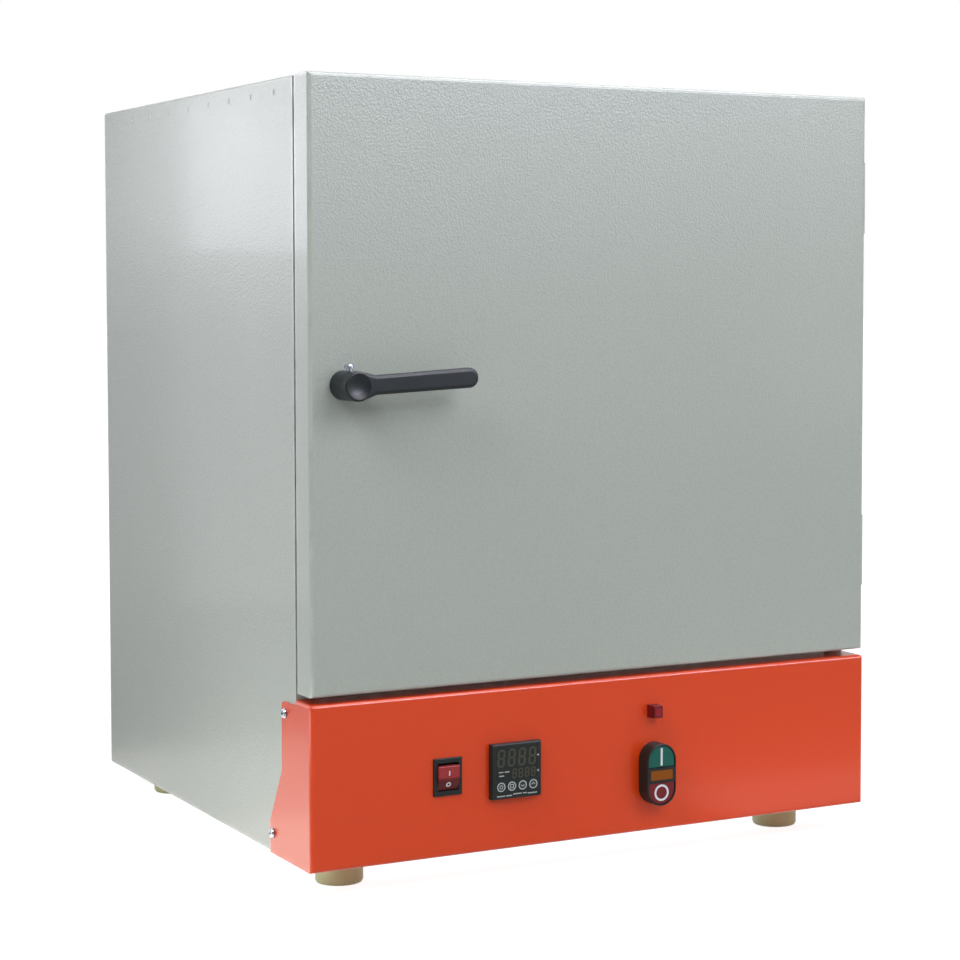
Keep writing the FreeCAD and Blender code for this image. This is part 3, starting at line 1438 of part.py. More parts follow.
def start_button():
    top = "push_z + push_inner_height - play"
    front = "push_face_y + button_recess"
    body = push_tablet("start_button", "push_inner_half - play",
                       "push_z + button_green_floor + play", top, front,
                       f"{front} + button_cap_depth", (top,))
    round_edges(body, "start_button_edge", "button_edge / 2", {"y": front})
    return body


def stop_button():
    bottom = "push_z - push_inner_height + play"
    front = "push_face_y + button_recess"
    body = push_tablet("stop_button", "push_inner_half - play", bottom,
                       "push_z - button_red_top - play", front,
                       f"{front} + button_cap_depth", (bottom,))
    round_edges(body, "stop_button_edge", "button_edge / 2", {"y": front})
    return body


def pilot_lens():
    return block("pilot_lens", ("push_x - lens_width / 2", "push_x + lens_width / 2"),
                 ("push_face_y", "push_face_y + lens_depth"),
                 ("push_z - lens_height / 2", "push_z + lens_height / 2"))


def contact_block():
    start = "front_y + button_neck_depth"
    return block("contact_block", ("push_x - contact_width / 2", "push_x + contact_width / 2"),
                 (start, f"{start} + contact_depth"),
                 ("push_z - contact_height / 2", "push_z + contact_height / 2"))


# Door skin: a shallow folded pan whose edges return inwards at the back.
def door_skin():
    body = solid_body("door_folded", "XZ_Plane",
                      rectangle(("-side_x", "side_x"), ("door_bottom_z", "door_top_z")),
                      "front_y", "door_back_y")
    round_edges(body, "door_bends", "door_bend", {"y": "front_y"})
    carve(body, "door_hollow", "XZ_Plane",
          rectangle(("-(side_x - door_sheet)", "side_x - door_sheet"),
                    ("door_bottom_z + door_sheet", "door_top_z - door_sheet")),
          "front_y + door_sheet", "inner_panel_back_y")
    round_edges(body, "door_inner_bends", "door_bend - door_sheet", {"y": "front_y + door_sheet"})
    carve(body, "door_opening", "XZ_Plane",
          rectangle(("-(side_x - door_return)", "side_x - door_return"),
                    ("door_bottom_z + door_return", "door_top_z - door_return")),
          "inner_panel_back_y - overrun", "door_back_y + overrun")
    hole = rod("skin_spindle_way", "+y", "spindle_radius + play", "2 * overrun", "handle_x",
               "front_y - overrun", "handle_z")
    return cut("door_skin", body, hole)


# Inner door panel: a stainless sheet behind the pan's edges, pressed into a plug.
def door_inner_panel():
    body = solid_body("inner_panel_pressed", "XZ_Plane",
                      rectangle(("-inner_panel_x", "inner_panel_x"),
                                ("inner_panel_bottom_z", "inner_panel_top_z")),
                      "inner_panel_front_y", "inner_panel_back_y")
    add(body, "plug_block", "XZ_Plane",
        rectangle(("-plug_x", "plug_x"), ("plug_bottom_z", "plug_top_z")),
        "inner_panel_back_y", "plug_y")
    round_edges(body, "plug_corners", "plug_round",
                {"x": "-plug_x", "z": "plug_bottom_z"}, {"x": "-plug_x", "z": "plug_top_z"},
                {"x": "plug_x", "z": "plug_bottom_z"}, {"x": "plug_x", "z": "plug_top_z"})
    round_edges(body, "plug_edge", "plug_round / 4", {"y": "plug_y"})
    hollow = ("-(plug_x - plug_round / 2)", "plug_x - plug_round / 2")
    carve(body, "plug_hollow", "XZ_Plane",
          rectangle(hollow, ("plug_bottom_z + plug_round / 2", "plug_top_z - plug_round / 2")),
          "inner_panel_front_y - overrun", "plug_y - door_sheet")
    hole = rod("inner_spindle_way", "+y", "spindle_radius + play", "2 * overrun", "handle_x",
               "inner_panel_front_y - overrun", "handle_z")
    return cut("door_inner_panel", body, hole)


def door_insulation():
    slab = block("door_wool_slab", ("-(inner_panel_x)", "inner_panel_x"),
                 ("front_y + door_sheet", "inner_panel_front_y"),
                 ("inner_panel_bottom_z", "inner_panel_top_z"))
    plug = block("door_wool_plug",
                 ("-(plug_x - plug_round / 2)", "plug_x - plug_round / 2"),
                 ("inner_panel_front_y", "plug_y - door_sheet"),
                 ("plug_bottom_z + plug_round / 2", "plug_top_z - plug_round / 2"))
    sleeve_way = rod("wool_sleeve_way", "+y", "spindle_radius + fit + sleeve_wall",
                     "door_thickness", "handle_x", "front_y", "handle_z")
    return cut("door_insulation", fuse("door_wool", slab, plug), sleeve_way)


# Door seal: a soft ring on the inner panel that meets the front frame.
def door_seal():
    outer_x = "seal_x + seal_width"
    body = solid_body("seal_ring", "XZ_Plane",
                      rectangle((f"-({outer_x})", outer_x),
                                ("seal_bottom_z - seal_width", "seal_top_z + seal_width")),
                      "inner_panel_back_y", "frame_front_y - play")
    round_edges(body, "seal_outer_corners", "seal_corner",
                *[{"x": f"{sign} * ({outer_x})", "z": z} for sign in ("-1", "1")
                  for z in ("seal_bottom_z - seal_width", "seal_top_z + seal_width")])
    round_edges(body, "seal_outer_edge", "seal_round", {"y": "frame_front_y - play"})
    carve(body, "seal_inside", "XZ_Plane",
          rectangle(("-seal_x", "seal_x"), ("seal_bottom_z", "seal_top_z")),
          "inner_panel_back_y - overrun", "frame_front_y + overrun")
    return body


# Hinges: welded leaves with rolled knuckles on the right, and a capped pin through each.
def hinge_places():
    return (("low", "hinge_low_z"), ("high", "hinge_high_z"))


def hinge_leaf(name, low_y, high_y, reach, bottom, knuckles):
    """A leaf with a strip to each of its knuckles, bored for the pin."""
    pieces = [block(f"{name}_leaf", ("side_x", "side_x + hinge_leaf"), (low_y, high_y),
                    (bottom, f"{bottom} + hinge_height"))]
    for number, (start, length) in enumerate(knuckles):
        z = f"{bottom} + {start}"
        pieces.append(block(f"{name}_strip_{number}", ("side_x", "side_x + hinge_leaf"),
                            reach, (z, f"{z} + {length}")))
        pieces.append(rod(f"{name}_knuckle_{number}", "+z", "hinge_barrel", length,
                          "hinge_x", "hinge_y", z))
    bore = rod(f"{name}_bore", "+z", "hinge_pin + fit", "hinge_height + 2 * overrun",
               "hinge_x", "hinge_y", f"{bottom} - overrun")
    return cut(f"{name}_cut", fuse(f"{name}_whole", *pieces), bore)


def hinge_leaves_door():
    knuckles = [("hinge_knuckle + play", "hinge_height - 2 * hinge_knuckle - 2 * play")]
    high = "hinge_y - hinge_barrel - hinge_leaf_gap"
    return group("hinge_leaves_door", *[
        hinge_leaf(f"door_hinge_{label}", f"{high} - hinge_leaf_depth", high,
                   (high, "hinge_y"), bottom, knuckles)
        for label, bottom in hinge_places()])


def hinge_leaves_cabinet():
    knuckles = [("0", "hinge_knuckle"), ("hinge_height - hinge_knuckle", "hinge_knuckle")]
    low = "hinge_y + hinge_barrel + hinge_leaf_gap"
    return group("hinge_leaves_cabinet", *[
        hinge_leaf(f"cabinet_hinge_{label}", low, f"{low} + hinge_leaf_depth",
                   ("hinge_y", low), bottom, knuckles)
        for label, bottom in hinge_places()])


def hinge_pins():
    profile = [("0", "-hinge_cap_height"), ("hinge_cap - hinge_cap_height / 2",
                                           "-hinge_cap_height"),
               ("hinge_cap", "-hinge_cap_height / 2"), ("hinge_cap", "0"), ("hinge_pin", "0"),
               ("hinge_pin", "hinge_height"), ("hinge_cap", "hinge_height"),
               ("hinge_cap", "hinge_height + hinge_cap_height / 2"),
               ("hinge_cap - hinge_cap_height / 2", "hinge_height + hinge_cap_height"),
               ("0", "hinge_height + hinge_cap_height")]
    return group("hinge_pins", *[turned(f"hinge_pin_{label}", profile, "+z", "hinge_x",
                                        "hinge_y", bottom)
                                 for label, bottom in hinge_places()])


# Latch: a lever on a spindle through the door, with a tongue that turns behind the frame.
def spindle_sleeve():
    length = "inner_panel_front_y - front_y - door_sheet"
    profile = [("spindle_radius + fit", "0"), ("spindle_radius + fit + sleeve_wall", "0"),
               ("spindle_radius + fit + sleeve_wall", length),
               ("spindle_radius + fit", length)]
    return turned("spindle_sleeve", profile, "+y", "handle_x", "front_y + door_sheet",
                  "handle_z")


def handle_lever():
    front = "-hub_length"
    back = "-hub_length + lever_thickness"
    tip = "lever_length"
    lever = solid_body(
        "lever_arm", "XZ_Plane",
        [("0", "-hub_radius * 0.9"), ("lever_shoulder_reach", "-lever_shoulder_half"),
         ("lever_neck_reach", "-lever_neck_half"), (tip, "-lever_tip_half"),
         (tip, "lever_tip_half"), ("lever_neck_reach", "lever_neck_half"),
         ("lever_shoulder_reach", "lever_shoulder_half"), ("0", "hub_radius * 0.9")],
        front, back)
    round_edges(lever, "lever_tip_round", "lever_tip_half - play",
                {"x": tip, "z": "-lever_tip_half"}, {"x": tip, "z": "lever_tip_half"})
    round_edges(lever, "lever_neck_flare", "lever_neck_reach",
                {"x": "lever_neck_reach", "z": "-lever_neck_half"},
                {"x": "lever_neck_reach", "z": "lever_neck_half"})
    round_edges(lever, "lever_soft_edges", "lever_edge", {"y": front}, {"y": back})
    hub = turned("lever_hub", [("0", "0"), ("hub_radius", "0"),
                               ("hub_radius", "hub_length - hub_gap"),
                               ("0", "hub_length - hub_gap")], "-y", "0", "-hub_gap", "0")
    round_edges(hub, "lever_hub_rim", "hub_edge", {"z": "hub_length - hub_gap"})
    dish = ball("lever_dish", "(dish_radius ^ 2 + dish_depth ^ 2) / (2 * dish_depth)", "0",
                "-hub_length - (dish_radius ^ 2 - dish_depth ^ 2) / (2 * dish_depth)", "0")
    socket = rod("lever_socket", "-y", "spindle_radius + fit", "spindle_socket + overrun",
                 "0", "overrun", "0")
    screw_way = rod("lever_screw_way", "+z", "set_screw_radius + fit",
                    "hub_radius + overrun", "0", "-set_screw_y", "0")
    whole = cut("handle_lever", fuse("lever_whole", lever, hub), dish, socket, screw_way)
    whole.Placement.Rotation = FreeCAD.Rotation(DIRECTIONS["-y"], 1)
    bind(whole, Placement__Rotation__Angle="lever_tilt")
    return place(whole, "handle_x", "front_y", "handle_z")


def handle_screw():
    seat = "hub_radius + set_screw_stand"
    profile = [("0", "spindle_radius"), ("set_screw_radius", "spindle_radius"),
               ("set_screw_radius", seat), ("set_screw_head", seat),
               ("set_screw_head", f"{seat} + set_screw_head_height * 0.6"),
               ("set_screw_head * 0.7", f"{seat} + set_screw_head_height"),
               ("0", f"{seat} + set_screw_head_height")]
    screw = turned("set_screw", profile, "+z", "0", "-set_screw_y", "0")
    whole = group("handle_screw", screw)
    whole.Placement.Rotation = FreeCAD.Rotation(DIRECTIONS["-y"], 1)
    bind(whole, Placement__Rotation__Angle="lever_tilt")
    return place(whole, "handle_x", "front_y", "handle_z")


def latch_spindle():
    return rod("latch_spindle", "+y", "spindle_radius",
               "tongue_back_y - front_y + spindle_socket", "handle_x",
               "front_y - spindle_socket", "handle_z")


def latch_tongue():
    body = solid_body("tongue_plate", "XZ_Plane",
                      rectangle(("handle_x - tongue_half - spindle_radius / 3",
                                 "handle_x + tongue_half + spindle_radius / 3"),
                                ("handle_z - tongue_length",
                                 "handle_z + tongue_half + spindle_radius / 3")),
                      "tongue_y", "tongue_back_y")
    half = "tongue_half + spindle_radius / 3"
    round_edges(body, "tongue_ends", "tongue_half / 2",
                *[{"x": f"handle_x + {sign} * ({half})", "z": z} for sign in ("-1", "1")
                  for z in ("handle_z - tongue_length",
                            "handle_z + tongue_half + spindle_radius / 3")])
    hole = rod("tongue_hole", "+y", "spindle_radius + fit", "tongue_thickness + 2 * overrun",
               "handle_x", "tongue_y - overrun", "handle_z")
    return cut("latch_tongue", body, hole)


for build in (outer_shell, base_plate, feet, foot_screws, front_frame, strike_plate,
              partition_plate, chamber, rear_plate, rear_cover, rear_cover_screws,
              appliance_inlet, rear_baffle, ring_heater, fan_wheel, fan_motor,
              temperature_probe, vent_tube, din_rail, contactor, heat_sink,
              solid_state_relay, terminal_block, control_panel, control_panel_screws,
              rocker_housing, rocker, controller_housing, controller_window, pilot_lamp,
              button_housing, start_button, stop_button, pilot_lens, contact_block,
              door_skin, door_inner_panel, door_insulation, door_seal, hinge_leaves_door,
              hinge_leaves_cabinet, hinge_pins, spindle_sleeve, handle_lever, handle_screw,
              latch_spindle, latch_tongue):
    keep(build.__name__, build())
insulation()
rail = shelf_rail()
keep("shelf_rail_left", rail)
keep("shelf_rail_right", mirrored("rail_mirrored", rail))
keep("shelf_lower", shelf("shelf_lower", 1))
keep("shelf_upper", shelf("shelf_upper", 2))
for key in range(4):
    keep(f"controller_key_{key + 1}", controller_key(key))

doc.recompute()

failed = [item.Name for item in doc.Objects
          if "Invalid" in item.State or "Error" in item.State]
if failed:
    raise RuntimeError(f"did not compute: {failed}")
unsound = [name for name, item in nodes.items()
           if item.Shape.isNull() or not item.Shape.isValid()]
if unsound:
    raise RuntimeError(f"no valid shape: {unsound}")
for name, item in nodes.items():
    item.Shape.exportStep(f"parts/{name}.step")
print(len(nodes), "sub-parts written")
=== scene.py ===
# %% [markdown]
# # A dry heat sterilizer
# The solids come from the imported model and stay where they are. This script gives every one of
# them a finish, adds the printed and moulded details that are too small for the solids, and
# sets up the light and the camera. Everything is in metres, +Z up, and the door faces -Y.

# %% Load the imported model
import bmesh
import bpy
import json
import math
from mathutils import Matrix, Vector


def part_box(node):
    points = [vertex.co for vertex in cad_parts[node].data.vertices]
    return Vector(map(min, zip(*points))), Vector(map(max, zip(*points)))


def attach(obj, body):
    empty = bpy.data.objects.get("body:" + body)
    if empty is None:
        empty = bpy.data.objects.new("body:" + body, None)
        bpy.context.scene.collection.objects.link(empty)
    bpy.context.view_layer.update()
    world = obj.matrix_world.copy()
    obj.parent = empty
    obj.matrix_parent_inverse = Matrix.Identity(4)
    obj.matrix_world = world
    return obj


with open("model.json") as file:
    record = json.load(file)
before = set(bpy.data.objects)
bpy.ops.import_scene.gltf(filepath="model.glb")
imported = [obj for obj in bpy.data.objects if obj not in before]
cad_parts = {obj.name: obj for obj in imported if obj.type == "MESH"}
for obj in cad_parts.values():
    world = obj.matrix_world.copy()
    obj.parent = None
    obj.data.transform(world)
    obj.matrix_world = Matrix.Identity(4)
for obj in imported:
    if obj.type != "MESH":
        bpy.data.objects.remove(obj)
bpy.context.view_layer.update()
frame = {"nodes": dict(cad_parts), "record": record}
nodes = frame["nodes"]
scene = bpy.context.scene

# %% [markdown]
# ## Shader maths in plain Python
# A material is a graph of nodes, and so is the world. Wiring them by hand is slow to read, so a
# small class wraps a socket and lets + - * add the Math nodes. Every other node comes from one
# method, which takes the node's type, its settings and what goes into its sockets.

# %% Sockets that can be added and multiplied
class Wire:
    """A socket of a node in a graph."""

    def __init__(self, graph, socket):
        self.graph = graph
        self.socket = socket

    def worked(self, operation, first, second):
        return self.graph.node("ShaderNodeMath", {"operation": operation},
                               {0: first, 1: second})

    def __add__(self, other):
        return self.worked("ADD", self, other)

    __radd__ = __add__

    def __sub__(self, other):
        return self.worked("SUBTRACT", self, other)

    def __rsub__(self, other):
        return self.worked("SUBTRACT", other, self)

    def __mul__(self, other):
        return self.worked("MULTIPLY", self, other)

    __rmul__ = __mul__

    def least(self, other):
        return self.worked("MINIMUM", self, other)

    def most(self, other):
        return self.worked("MAXIMUM", self, other)

    def size(self):
        return self.graph.node("ShaderNodeMath", {"operation": "ABSOLUTE"}, {0: self})

    def along(self, axis):
        """How far a point lies along one axis."""
        return self.graph.node("ShaderNodeSeparateXYZ", {}, {0: self}, axis)

    def between(self, low, high):
        """0 up to the low value, 1 from the high one, and a soft step between them."""
        return self.graph.node("ShaderNodeMapRange", {"interpolation_type": "SMOOTHSTEP"},
                               {"Value": self, "From Min": low, "From Max": high})


class Graph:
    """A tree of shader nodes, and the place where they are made."""

    def __init__(self, owner):
        owner.use_nodes = True
        self.tree = owner.node_tree
        self.tree.nodes.clear()

    def feed(self, made, sockets):
        """Give a node's sockets their values or wires."""
        for name, value in sockets.items():
            if isinstance(value, Wire):
                self.tree.links.new(value.socket, made.inputs[name])
            else:
                made.inputs[name].default_value = value

    def node(self, kind, settings, sockets, take=0):
        """Add a node of a kind and hand back one of its outputs, if it has any."""
        made = self.tree.nodes.new(kind)
        for name, value in settings.items():
            setattr(made, name, value)
        self.feed(made, sockets)
        return Wire(self, made.outputs[take]) if made.outputs else None

    def ray(self, kind):
        """1 for what a camera, glossy or transmission ray sees, and 0 for the rest."""
        return self.node("ShaderNodeLightPath", {}, {}, f"Is {kind} Ray")


class Finish(Graph):
    """One material with its shader."""

    def __init__(self, name, constants):
        self.material = bpy.data.materials.new(name)
        super().__init__(self.material)
        self.shader = self.node("ShaderNodeBsdfPrincipled", {}, constants)
        self.node("ShaderNodeOutputMaterial", {}, {"Surface": self.shader})

    def place(self, scale=(1, 1, 1)):
        """A point of the object, in metres, stretched along its axes."""
        point = self.node("ShaderNodeTexCoord", {}, {}, "Object")
        return self.node("ShaderNodeMapping", {}, {"Vector": point, "Scale": scale})

    def noise(self, scale, detail=2.0, stretch=(1, 1, 1)):
        """Soft random spots, so many to the metre."""
        return self.node("ShaderNodeTexNoise", {}, {"Vector": self.place(stretch),
                                                    "Scale": scale, "Detail": detail})

    def mix(self, mask, first, second):
        """One colour where the mask is 0 and another where it is 1."""
        return self.node("ShaderNodeMix", {"data_type": "RGBA"},
                         {0: mask, 6: first, 7: second}, 2)

    def rim(self, low, high, reach):
        """1 on the edges of a box, falling to 0 over a reach, where two of its faces are near."""
        point = self.place()
        near = []
        for axis, (least, most) in enumerate(zip(low, high)):
            inside = (most - least) / 2 - (point.along(axis) - (most + least) / 2).size()
            near.append(1 - inside.between(0.0, reach))
        return (near[0].least(near[1])).most(near[1].least(near[2])).most(near[0].least(near[2]))

    def bump(self, height, depth, strength=1.0):
        """Let a height field press into the surface."""
        return self.node("ShaderNodeBump", {}, {"Height": height, "Distance": depth,
                                                "Strength": strength})

    def wear(self, **wires):
        """Feed the shader's sockets; two words of a name are joined by an underscore."""
        self.feed(self.shader.socket.node,
                  {name.replace("_", " "): wire for name, wire in wires.items()})
        return self


def colour(red, green, blue):
    """A screen colour from 0 to 255 as the linear colour that shaders use."""
    def linear(part):
        part = part / 255
        return part / 12.92 if part <= 0.04045 else ((part + 0.055) / 1.055) ** 2.4
    return (linear(red), linear(green), linear(blue), 1.0)


def shaded(tone, share):
    """A colour made lighter or darker by a share."""
    return tuple(min(1.0, part * share) for part in tone[:3]) + (1.0,)


print("shader helpers ready")

# %% [markdown]
# ## Powder coat
# The cabinet is dusted with powder paint and baked. The grey-green coat has a fine leather-like
# grain under two millimetres wide, and the orange coat flows out smoother and glossier. Both
# come from noise that presses into the surface, because the grain has no outline of its own.
# The edges of each part's box are painted paler, in patches, as a painted highlight on the
# folds, and hands rub the thin coat there smoother and glossier. That needs the part's own box,
# so each part has its own coat.

# %% Powder coats
COAT_ROUGHNESS = 0.10
CELL_SOFTNESS = 0.7
CELL_SPOTS = (0.1, 0.8)
PITS_PER_CELL = 1.6
PIT_SHARE = 0.5
CELLS_PER_SWELL = 5
SWELL_SHARE = 0.3
CLOUD_SCALE = 5.0
CLOUD_SHADE = 0.04
CLOUD_GLOSS = (0.6, 0.8)
GRAIN_STRENGTH = 0.6
EDGE_HIGHLIGHT = 0.35
EDGE_REACH = 0.004
EDGE_PATCH_SCALE = 38.0
EDGE_PATCH_RANGE = (0.30, 0.62)
EDGE_HIGHLIGHT_SHADE = 1.5
RUB_SMOOTHER = 0.10
RUB_GLOSS = 0.2


def powder_coat(name, part, tone, depth, grain, roughness, shine, spots, gloss):
    """Baked powder paint on one part, with a grain so many to the metre, and edges rubbed
    smoother and painted paler as a highlight.
    """
    coat = Finish(name, {"Coat Roughness": COAT_ROUGHNESS, "Specular IOR Level": shine})
    cells = coat.node("ShaderNodeTexVoronoi", {"feature": "SMOOTH_F1"},
                      {"Vector": coat.place(), "Scale": grain, "Smoothness": CELL_SOFTNESS})
    pits = coat.noise(grain * PITS_PER_CELL, detail=3.0)
    swell = coat.noise(grain / CELLS_PER_SWELL)
    clouds = coat.noise(CLOUD_SCALE, detail=4.0)
    height = cells + PIT_SHARE * pits + SWELL_SHARE * swell
    cover = coat.mix(clouds, shaded(tone, 1 - CLOUD_SHADE), shaded(tone, 1 + CLOUD_SHADE))
    speckled = coat.mix(cells.between(*CELL_SPOTS),
                        shaded(tone, 1 + spots), shaded(tone, 1 - spots))
    # Along the part's edges the colour gets a painted highlight, and the rub makes the coat
    # smoother and glossier.
    patches = coat.noise(EDGE_PATCH_SCALE, detail=3.0).between(*EDGE_PATCH_RANGE)
    rub_and_highlight = coat.rim(*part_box(part), EDGE_REACH) * patches
    even, clouded = CLOUD_GLOSS
    return coat.wear(Base_Color=coat.mix(EDGE_HIGHLIGHT * rub_and_highlight, coat.mix(0.5, cover, speckled),
                                         shaded(tone, EDGE_HIGHLIGHT_SHADE)),
                     Roughness=roughness + spots * (pits - 0.5) - RUB_SMOOTHER * rub_and_highlight,
                     Coat_Weight=gloss * (even + clouded * clouds) + RUB_GLOSS * rub_and_highlight,
                     Normal=coat.bump(height, depth, GRAIN_STRENGTH))


GREY_GREEN = colour(170, 177, 171)
GREY_COAT = {"grain": 560.0, "roughness": 0.36, "shine": 0.40, "spots": 0.07, "gloss": 0.14}
GREY_DEPTHS = {"outer_shell": 0.00040, "rear_cover": 0.00026, "door_skin": 0.00026,
               "hinge_leaves_door": 0.00026, "hinge_leaves_cabinet": 0.00026}
ORANGE_RED = colour(220, 68, 20)
ORANGE_COAT = {"depth": 0.00004, "grain": 420.0, "roughness": 0.26, "shine": 0.32,
               "spots": 0.02, "gloss": 0.10}
painted = {part: powder_coat(f"grey_powder_coat_{part}", part, GREY_GREEN, depth, **GREY_COAT)
           for part, depth in GREY_DEPTHS.items()}
painted["control_panel"] = powder_coat("orange_powder_coat", "control_panel", ORANGE_RED,
                                       **ORANGE_COAT)
print("powder coats on", sorted(painted))

# %% [markdown]
# ## Sheet metal and turned metal
# The chamber is stainless sheet with the mill's fine brush lines, which run one way. Stretching
# a noise along one axis gives those lines, and they change the roughness more than the colour.

# %% Metals
LINE_SCALE = 1500.0
LINE_DEPTH = 0.000004
LINE_SHADES = (0.94, 1.05)
LINE_ROUGHNESS = 0.16
STAIN_SCALE = 9.0
STAIN_SHARES = (0.80, 0.68, 0.48)
TOOL_SCALE = 900.0
TOOL_DEPTH = 0.00001
SMEAR_SCALE = 60.0
SMEAR_SHADE = 0.88
SMEAR_ROUGHNESS = 0.18
SMEAR_MIDDLE = 0.4


def sheet_metal(name, tone, roughness, stretch, stain):
    """Rolled sheet with brush lines along the axis that the stretch leaves short."""
    sheet = Finish(name, {"Metallic": 1.0})
    lines = sheet.noise(LINE_SCALE, 3.0, stretch)
    clouds = sheet.noise(STAIN_SCALE, detail=3.0)
    tinted = sheet.mix(lines, *(shaded(tone, shade) for shade in LINE_SHADES))
    warm = tuple(part * share for part, share in zip(tone, STAIN_SHARES)) + (1.0,)
    stained = sheet.mix(clouds * stain, tinted, warm)
    return sheet.wear(Base_Color=stained, Roughness=roughness + LINE_ROUGHNESS * (lines - 0.5),
                      Normal=sheet.bump(lines, LINE_DEPTH))


def turned_metal(name, tone, roughness):
    """Turned or plated metal with faint tool marks and handling marks."""
    metal = Finish(name, {"Metallic": 1.0})
    marks = metal.noise(TOOL_SCALE)
    smears = metal.noise(SMEAR_SCALE, detail=3.0)
    return metal.wear(Base_Color=metal.mix(smears, shaded(tone, SMEAR_SHADE), tone),
                      Roughness=roughness + SMEAR_ROUGHNESS * (smears - SMEAR_MIDDLE),
                      Normal=metal.bump(marks, TOOL_DEPTH))


finishes = {
    "stainless": sheet_metal("brushed_stainless_sheet", colour(205, 204, 201), 0.30,
                             stretch=(0.04, 1, 1), stain=0.25),
    "zinc_steel": sheet_metal("zinc_plated_sheet", colour(188, 192, 196), 0.42,
                              stretch=(0.3, 1, 0.3), stain=0.1),
    "heater_steel": sheet_metal("heat_stained_sheath", colour(112, 104, 98), 0.45,
                                stretch=(1, 1, 1), stain=0.9),
    "steel": turned_metal("turned_steel", colour(178, 178, 180), 0.32),
    "chrome": turned_metal("bright_plated_steel", colour(172, 178, 188), 0.20),
    "aluminium": turned_metal("extruded_aluminium", colour(200, 202, 205), 0.38),
}
print("metals", sorted(finishes))

# %% [markdown]
# ## Moulded plastics
# Switches, lever, feet and housings are moulded. The mould leaves a very fine matt grain, and
# handling polishes it in patches, so two noises drive the roughness.

# %% Plastics
MOULD_SCALE = 1500.0
VARNISH_ROUGHNESS = 0.08
PATCH_SCALE = 45.0
PATCH_SHADES = (0.90, 1.10)
PATCH_ROUGHNESS = 0.12
# Name, tone, roughness, depth of the grain, shine and varnish, under the slot or its print.
PLASTICS = {
    "black_plastic": ("black_housing_plastic", (28, 35, 33), 0.42, 0.00003, 0.22, 0.0),
    "lever_plastic": ("black_lever_plastic", (17, 24, 28), 0.40, 0.00005, 0.3, 0.0),
    "grey_plastic": ("grey_switchgear_plastic", (158, 160, 158), 0.45, 0.00003, 0.3, 0.0),
    "foot_plastic": ("cream_foot_plastic", (228, 224, 174), 0.48, 0.00008, 0.3, 0.0),
    "key_plastic": ("dark_key_plastic", (44, 50, 50), 0.38, 0.00003, 0.22, 0.0),
    "green_cap": ("green_cap_plastic", (14, 92, 80), 0.32, 0.00002, 0.25, 0.0),
    "red_cap": ("dark_red_cap_plastic", (112, 26, 31), 0.32, 0.00002, 0.25, 0.0),
    "white_print": ("white_print", (214, 220, 228), 0.5, 0.00003, 0.3, 0.0),
    "grey_print": ("grey_print", (178, 186, 188), 0.5, 0.00003, 0.3, 0.0),
    "dim_segment": ("unlit_display_segment", (70, 70, 60), 0.4, 0.00003, 0.2, 0.0),
    "display": ("tinted_display_window", (26, 32, 30), 0.24, 0.00001, 0.25, 0.1),
    "motor_steel": ("dark_motor_enamel", (70, 72, 76), 0.40, 0.00006, 0.3, 0.0),
    "silicone": ("brick_red_silicone", (150, 62, 48), 0.55, 0.00008, 0.3, 0.0),
}


def moulded(name, tone, roughness, grain_depth, shine, varnish):
    """Moulded plastic with a fine grain and patches polished by hands."""
    plastic = Finish(name, {"Coat Weight": varnish, "Coat Roughness": VARNISH_ROUGHNESS,
                            "Specular IOR Level": shine})
    grain = plastic.noise(MOULD_SCALE)
    patches = plastic.noise(PATCH_SCALE, detail=3.0)
    tones = (shaded(tone, shade) for shade in PATCH_SHADES)
    return plastic.wear(Base_Color=plastic.mix(patches, *tones),
                        Roughness=roughness + PATCH_ROUGHNESS * (patches - 0.5),
                        Normal=plastic.bump(grain, grain_depth))


for slot, (name, tone, *settings) in PLASTICS.items():
    finishes[slot] = moulded(name, colour(*tone), *settings)
print("plastics", sorted(PLASTICS))

# %% [markdown]
# ## Tinted lenses
# The rocker, the lamp and the amber field are clear coloured plastic with ribs behind it, which
# spread the light of a lamp. Drawn as real ribs they would be lost at this size, so a wave
# shades the colour. The rocker's own red is made paler pink as a painted highlight of its upper
# face, and its lower face, which leans away from the light, gets painted shade.

# %% Lenses
GLASS_ROUGHNESS = 0.06
RIB_WAVER = 0.6
RIB_SHADES = (0.80, 1.18)
DEPTH_SCALE = 160.0
DEPTH_SHARE = 0.4
DEPTH_SHADE = 0.7
DEPTH_ROUGHNESS = (0.22, 0.16)
PAINTED_LOW_SHADE = 0.24
PAINTED_SHADE_FADE = 0.0012
# Name, tone, ribs to the metre, shine and varnish, and the part whose lower half gets painted
# shade.
LENSES = {
    # The rocker's red is paler pink than its own colour: a painted highlight of its upper face.
    "red_plastic": ("red_tinted_plastic", (162, 54, 58), 260.0, 0.2, 0.04, "rocker"),
    "dark_lens": ("dark_red_lamp_plastic", (104, 10, 22), 260.0, 0.3, 0.1, None),
    "bright_lens": ("bright_red_lamp_window", (158, 14, 32), 300.0, 0.25, 0.1, None),
    "amber": ("amber_tinted_plastic", (142, 76, 4), 300.0, 0.15, 0.05, None),
}


